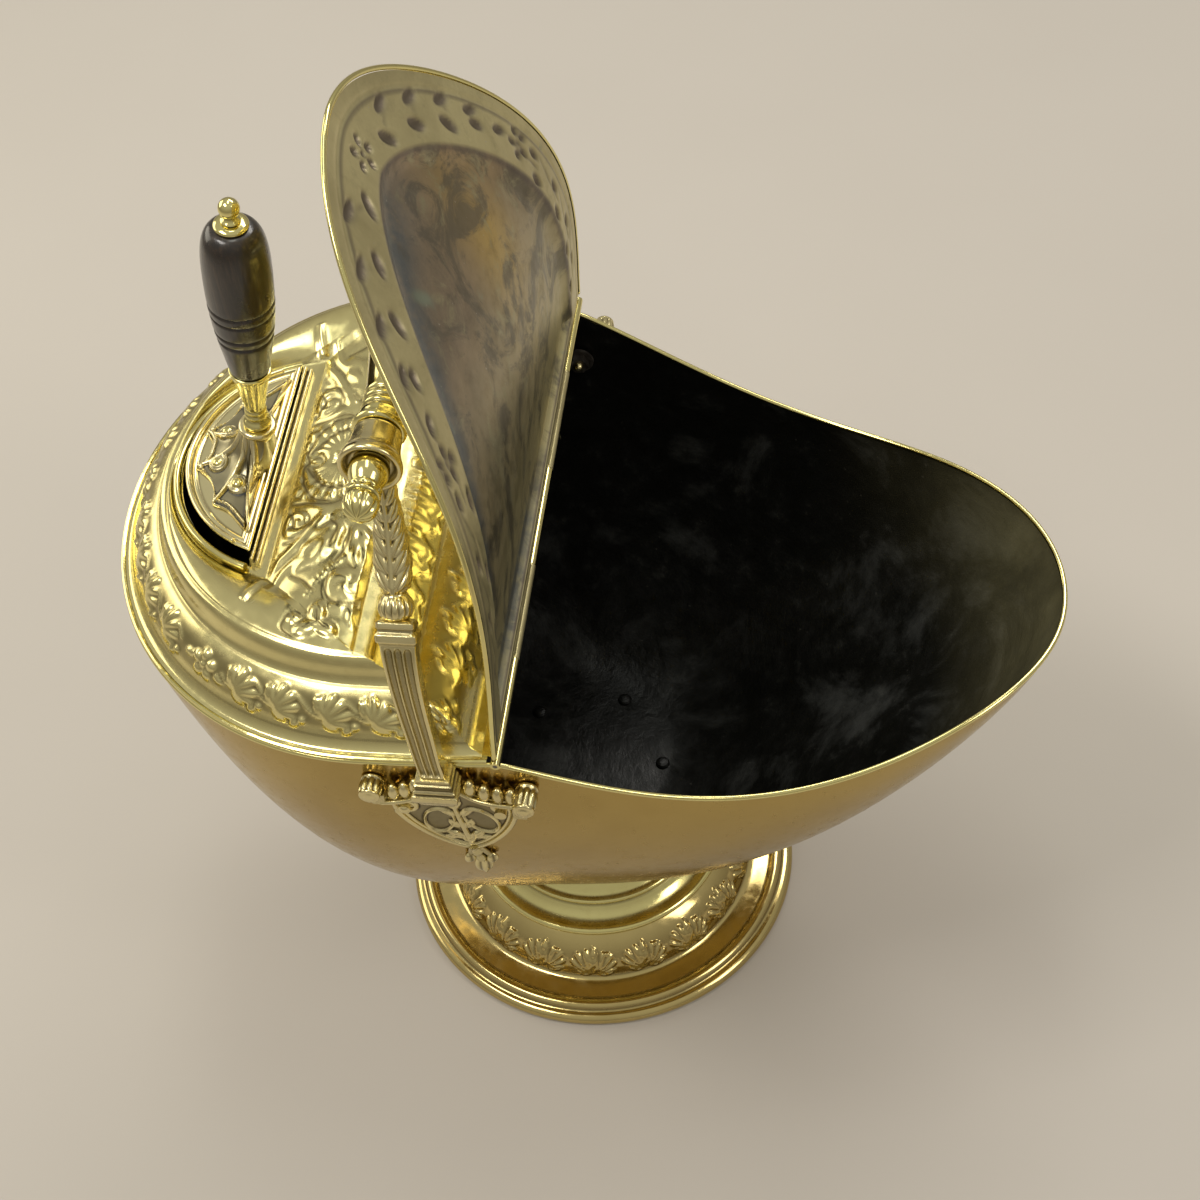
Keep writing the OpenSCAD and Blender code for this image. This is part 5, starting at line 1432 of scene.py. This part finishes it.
def wing_relief(X, Y, edge):
    """Ribs and leaves of the scoop's cast wing."""
    R = Relief(X, np.abs(Y))
    for t in TIPS:
        u = t / np.hypot(*t)
        R.stroke([tuple(u * 9), tuple(u * 24), tuple(u * (np.hypot(*t) - 1.5))], 2.0, 1.0, 2.4)
    for a, b, m in ((TIPS[0], TIPS[1], (-7.4, 36.6)), (TIPS[1], TIPS[2], (-21.2, 22.0))):
        R.beads([tuple(a * 0.93), m, tuple(b * 0.93)], 1.0, 2.1, 1.8)
    R.stroke(spline([(-0.6, 12), (-0.4, 24), (1.4, 36), (4.2, 50)], 20), 1.3, 0.8, 1.9)
    R.stroke(spline([(-28.5, 12), (-25.0, 6), (-24.4, 0)], 12), 1.2, 1.2, 1.7)
    for x, y in RIVETS:
        m = R.near(x, y, 7)
        r = np.hypot(R.X[m] - x, R.Y[m] - y)
        R.keep(m, 2.3 * unit((5.4 - r) / 0.8) - 0.9 * bell(r - 4.1, 0.5))
    return np.maximum(R.H, 1.1 * unit(1 - edge / 1.2))


def add_casting():
    """The scoop's cast socket and its wing."""
    q = Parts()
    n, m = 560, 120
    a = np.linspace(-np.pi, np.pi, n, endpoint=False)[None]
    k = np.linspace(0.02, 1, m)[:, None]
    rad = wing_outline(a)
    X, Y = WING_X + k * rad * np.cos(a), k * rad * np.sin(a)
    edge = (1 - k) * rad
    H = blur(wing_relief(X, Y, edge), 1, wrap_u=True)
    hollow = unit(hollows(H, 7, 1.2, True) + 0.62 * (H < 0.35))
    away = np.hypot(X, Y)
    ribs = np.zeros_like(X)
    for t in TIPS:
        for sgn in (1, -1):
            turned = (np.arctan2(Y, X) - math.atan2(sgn * t[1], t[0]) + np.pi) % (2 * np.pi) - np.pi
            ribs = np.maximum(ribs, bell(turned * np.maximum(away, 7), 2.0))
    flare = 17.5 * np.exp(-np.maximum(away - 7.0, 0) / 6.2)
    top = 1.15 + H * unit(away / 16) + flare + 1.5 * ribs * unit(flare / 3)
    hollow = np.maximum(hollow * (1 - 0.75 * ribs * (away < 26)), 0.55 * (1 - ribs) * unit(flare / 2))
    top *= np.sqrt(1 - (1 - unit(edge / 0.8)) ** 2)
    face, base = np.stack([X, Y, top], -1), np.stack([X, Y, 0 * X], -1)
    P = np.concatenate([base[:1], base[1::12], base[-1:], face[::-1]])
    cav = np.concatenate([np.zeros((len(base[1::12]) + 2, n)), hollow[::-1]])
    q.rings(P + np.array(SOCKET), cav)
    neck = [(0.02, 14), (6.8, 14), (7.2, 17.2), (7.9, 18.2), (8.2, 19), (7.9, 19.4), (9.0, 19.8),
            (9.7, 20.8), (9.6, 21.8), (8.8, 22.8), (7.4, 23), (0.02, 23)]
    turn(q, neck, SOCKET, HANDLE_DIR, n=96)
    q.piece("cast_socket_wing", m_wing, "scoop", "cast_brass", "scoop_handle_casting", sharp=60)


def add_rivet_heads():
    """The heads of the four rivets through the wing."""
    q = Parts()
    for x, y in RIVETS:
        for s in (-1, 1):
            o = np.array(SOCKET) + np.array([x, s * y, 0])
            turn(q, [(0.02, 0.05), (1.9, 0.05), (1.9, 3.4), (3.1, 3.6), (3.2, 4.3), (2.7, 5.3),
                     (1.6, 6.0), (0.02, 6.2)], o, (0, 0, 1), n=36)
    q.piece("round_rivet_heads", m_turned, "scoop", "polished_brass", "casting_rivets")


def ferrule_relief(d, a):
    """Long leaves up the flare of the ferrule."""
    reach = unit((d - 36) / 5) * unit((61.5 - d) / 3)
    return -0.75 * (0.5 - 0.5 * np.cos(8 * a)) ** 4 * reach


def add_handle():
    """The turned pieces of the scoop's handle, from the ferrule up to the ball on its end."""
    ball = [(5.0 * math.sin(t), 163 - 5.0 * math.cos(t)) for t in np.radians(np.linspace(35, 179, 16))]
    for name, mat, slot, node, profile, how in (
            ("fluted_ferrule", m_turned, "polished_brass", "scoop_ferrule",
             [(0.02, 23.05), (5.6, 23.05), (6.9, 24.2), (7.1, 25.8), (6.2, 27.2), (5.2, 28.4),
              (5.0, 29.4), (5.6, 30), (5.6, 31.2), (4.9, 32), (4.9, 32.8), (5.5, 33.4), (5.5, 34.6),
              (4.9, 35.4), (5.0, 36.4), (5.5, 38.4), (6.3, 43), (7.5, 50), (8.9, 56.6), (9.6, 58.8),
              (9.3, 59.6), (10.2, 60.4), (10.6, 61.6), (10.2, 62.8), (0.02, 63)],
             dict(n=128, step=0.4, relief=ferrule_relief)),
            ("turned_wood_handle", m_ebony, "ebonised_wood", "scoop_wood_handle",
             [(0.02, 63.05), (9.6, 63.05), (9.9, 63.8), (10.6, 68), (12.8, 81), (13.5, 85.2),
              (13.5, 86), (12.8, 86.5), (12.8, 87), (13.7, 87.6), (14.3, 90.6), (14.3, 91.3),
              (13.6, 91.8), (13.7, 92.3), (14.6, 92.9), (15.3, 101.2), (15.3, 101.9), (14.7, 102.4),
              (14.8, 102.9), (15.5, 103.5), (15.8, 106.9), (15.7, 107.5), (15.1, 107.9), (15.2, 108.4),
              (15.8, 109), (16.05, 118), (16.1, 127), (15.9, 135), (15.2, 142), (13.9, 147.2),
              (11.8, 150.8), (8.8, 152.8), (0.02, 153)],
             dict(n=128, gain=2.0)),
            ("end_washer", m_turned, "polished_brass", "handle_washer",
             [(0.02, 153.05), (7.9, 153.05), (8.3, 153.5), (8.1, 154.3), (6.6, 155.2), (5.2, 155.6),
              (0.02, 155.8)], dict(n=80)),
            ("ball_finial", m_turned, "polished_brass", "handle_ball_knob",
             [(0.02, 155.85), (4.7, 155.9), (4.8, 156.5), (3.6, 157.4), (2.8, 158.4)] + ball,
             dict(n=80, step=0.3))):
        turned_piece(name, mat, "scoop", slot, node, profile, SOCKET, HANDLE_DIR, **how)


# ---------------------------------------------------------------- end plate and moulding of the slot
PLATE_EDGE = 65.8 - SLOT_R
MOULDING_END = 65.0


def add_plate():
    """The scoop's end plate and the bead round it."""
    # how far in from the edge, height over the plate's underside
    line = [(20, 0), (10, 0), (0.6, 0), (0, 0.3), (0, 1.0), (0.5, 1.5), (1.4, 1.75), (2.3, 1.4),
            (2.8, 0.8), (3.4, 1.3), (4.2, 1.5), (5.0, 1.2), (5.6, 0.75), (7, 0.95), (10, 1.0),
            (14, 1.05), (20, 1.05)]
    p = resample(np.array(line), 0.5)
    rings = [slot_ring(PLATE_EDGE - d, 1.2 - d, PLATE_Z + z) for d, z in p]
    dark = np.interp(p[:, 0], [0, 2.2, 2.9, 3.6, 4.8, 5.7, 6.8, 20], [0, 0.1, 0.8, 0, 0, 0.7, 0.05, 0])
    q = Parts()
    rings = np.stack(rings)
    q.rings(rings, dark[:, None] + 0 * rings[..., 0])
    q.piece("scoop_end_plate", m_plate, "scoop", "polished_brass", "scoop_back_plate")
    r, a = SLOT_R + PLATE_EDGE - 1.0, np.linspace(-1.1, 1.1, 200) + np.pi
    arc = np.stack([SLOT_X + SLOT_OFF + r * np.cos(a), r * np.sin(a), np.full_like(a, PLATE_Z + 2.2)], -1)
    v, f = tube_parts(arc[arc[:, 0] < SLOT_X - 1.5], 1.3, 14)
    mesh_piece("plate_edge_bead", v, f, m_plate, "scoop", "scoop_edge_bead")


def add_moulding():
    """The reeded moulding on the straight side of the slot."""
    x = np.linspace(0.9, 5.6, 60)
    z = np.full_like(x, 1.6)
    for c, r, h in ((1.9, 0.95, 4.9), (4.5, 1.0, 3.4)):  # two reeds: middle, radius, height
        reed = h - r + np.sqrt(np.maximum(r * r - (x - c) ** 2, 0))
        z = np.maximum(z, np.where(np.abs(x - c) < r, reed, 0))
    xs = np.concatenate([x, x[::-1]])
    zs = np.concatenate([z, 0 * z + 0.1])
    y = np.concatenate([[-MOULDING_END], np.linspace(-64.5, 64.5, 60), [MOULDING_END]])
    P = np.stack([np.stack([SLOT_X + xs, 0 * xs + v, SLOT_Z + zs], -1) for v in y])
    dark = unit(0.25 + np.concatenate([blur(z[:, None], 9)[:, 0] - z, 0 * z]) * 1.4)
    q = Parts()
    q.rings(P, np.broadcast_to(dark, P.shape[:2]))
    q.piece("reeded_slot_moulding", m_cast, "scuttle", "polished_brass", "slot_front_bar")


for add in (add_bowl, add_rim, add_cover, add_lid, add_lid_bead, add_foot, add_neck, add_brackets,
            add_arms, add_grip, add_nuts, add_casting, add_rivet_heads, add_handle, add_plate,
            add_moulding):
    add()


# ---------------------------------------------------------------- solids that are shown as they are
for name, mat in {
        "foot_rivets": m_japan, "cover_edge_bead": m_turned, "slot_rim": m_turned,
        "fixed_hinge_knuckles": m_turned, "hinge_pin": m_iron, "bracket_screws": m_cast,
        "bracket_nuts": m_iron, "grip_rod": m_iron, "lid_hinge_knuckles": m_lid,
        "scoop_trough": m_brass, "scoop_tang": m_iron}.items():
    for s in frame["nodes"][name].material_slots:
        s.material = mat


# ---------------------------------------------------------------- stage


def stage():
    me, s = bpy.data.meshes.new("floor"), 6.0
    me.from_pydata([(-s, -s, 0), (s, -s, 0), (s, s, 0), (-s, s, 0)], [], [(0, 1, 2, 3)])
    f = Surface("floor_pale", Roughness=0.9, Specular_IOR_Level=0.2)
    f.set(Base_Color=f.mix(f.noise(3.0, 3.0), (0.55, 0.51, 0.46), (0.59, 0.55, 0.50)))
    me.materials.append(f.mat)
    ob = into_scene("floor", me)


def area(name, loc, target, size, power, colour=(1.0, 0.96, 0.90)):
    d = bpy.data.lights.new(name, "AREA")
    d.shape = "RECTANGLE"
    d.size, d.size_y = size
    d.energy = power
    d.color = colour
    o = into_scene(name, d)
    o.location = loc
    o.rotation_euler = (Vector(target) - Vector(loc)).to_track_quat("-Z", "Y").to_euler()


def world():
    """A plain room, a little brighter overhead than at the horizon."""
    w = bpy.data.worlds.new("studio")
    bpy.context.scene.world = w
    w.use_nodes = True
    n = Nodes(w.node_tree)
    up = n.new("SeparateXYZ", Vector=n.new("TexCoord").outputs["Generated"]).outputs["Z"]
    sky = n.mix(n.ramp(up, -0.1, 0.95), (0.29, 0.265, 0.225), (0.50, 0.485, 0.44))
    n.put(sky, w.node_tree.nodes["Background"].inputs["Color"])


stage()
area("key", (-0.9, -0.5, 2.2), (0, 0, 0.3), (0.9, 0.5), 14)
area("back", (0.4, 1.3, 1.9), (0, 0, 0.3), (1.2, 0.35), 10)
area("left", (-1.5, 0.5, 1.0), (-0.05, 0, 0.4), (1.2, 0.8), 7, (1.0, 0.94, 0.78))
area("side", (1.6, -0.6, 1.7), (0, 0, 0.3), (0.5, 1.0), 8, (1.0, 0.95, 0.88))
area("over", (-0.1, 0.5, 2.3), (0, 0, 0.3), (0.35, 1.0), 5, (0.97, 1.0, 0.92))
world()
bpy.context.scene.view_settings.view_transform = "Standard"
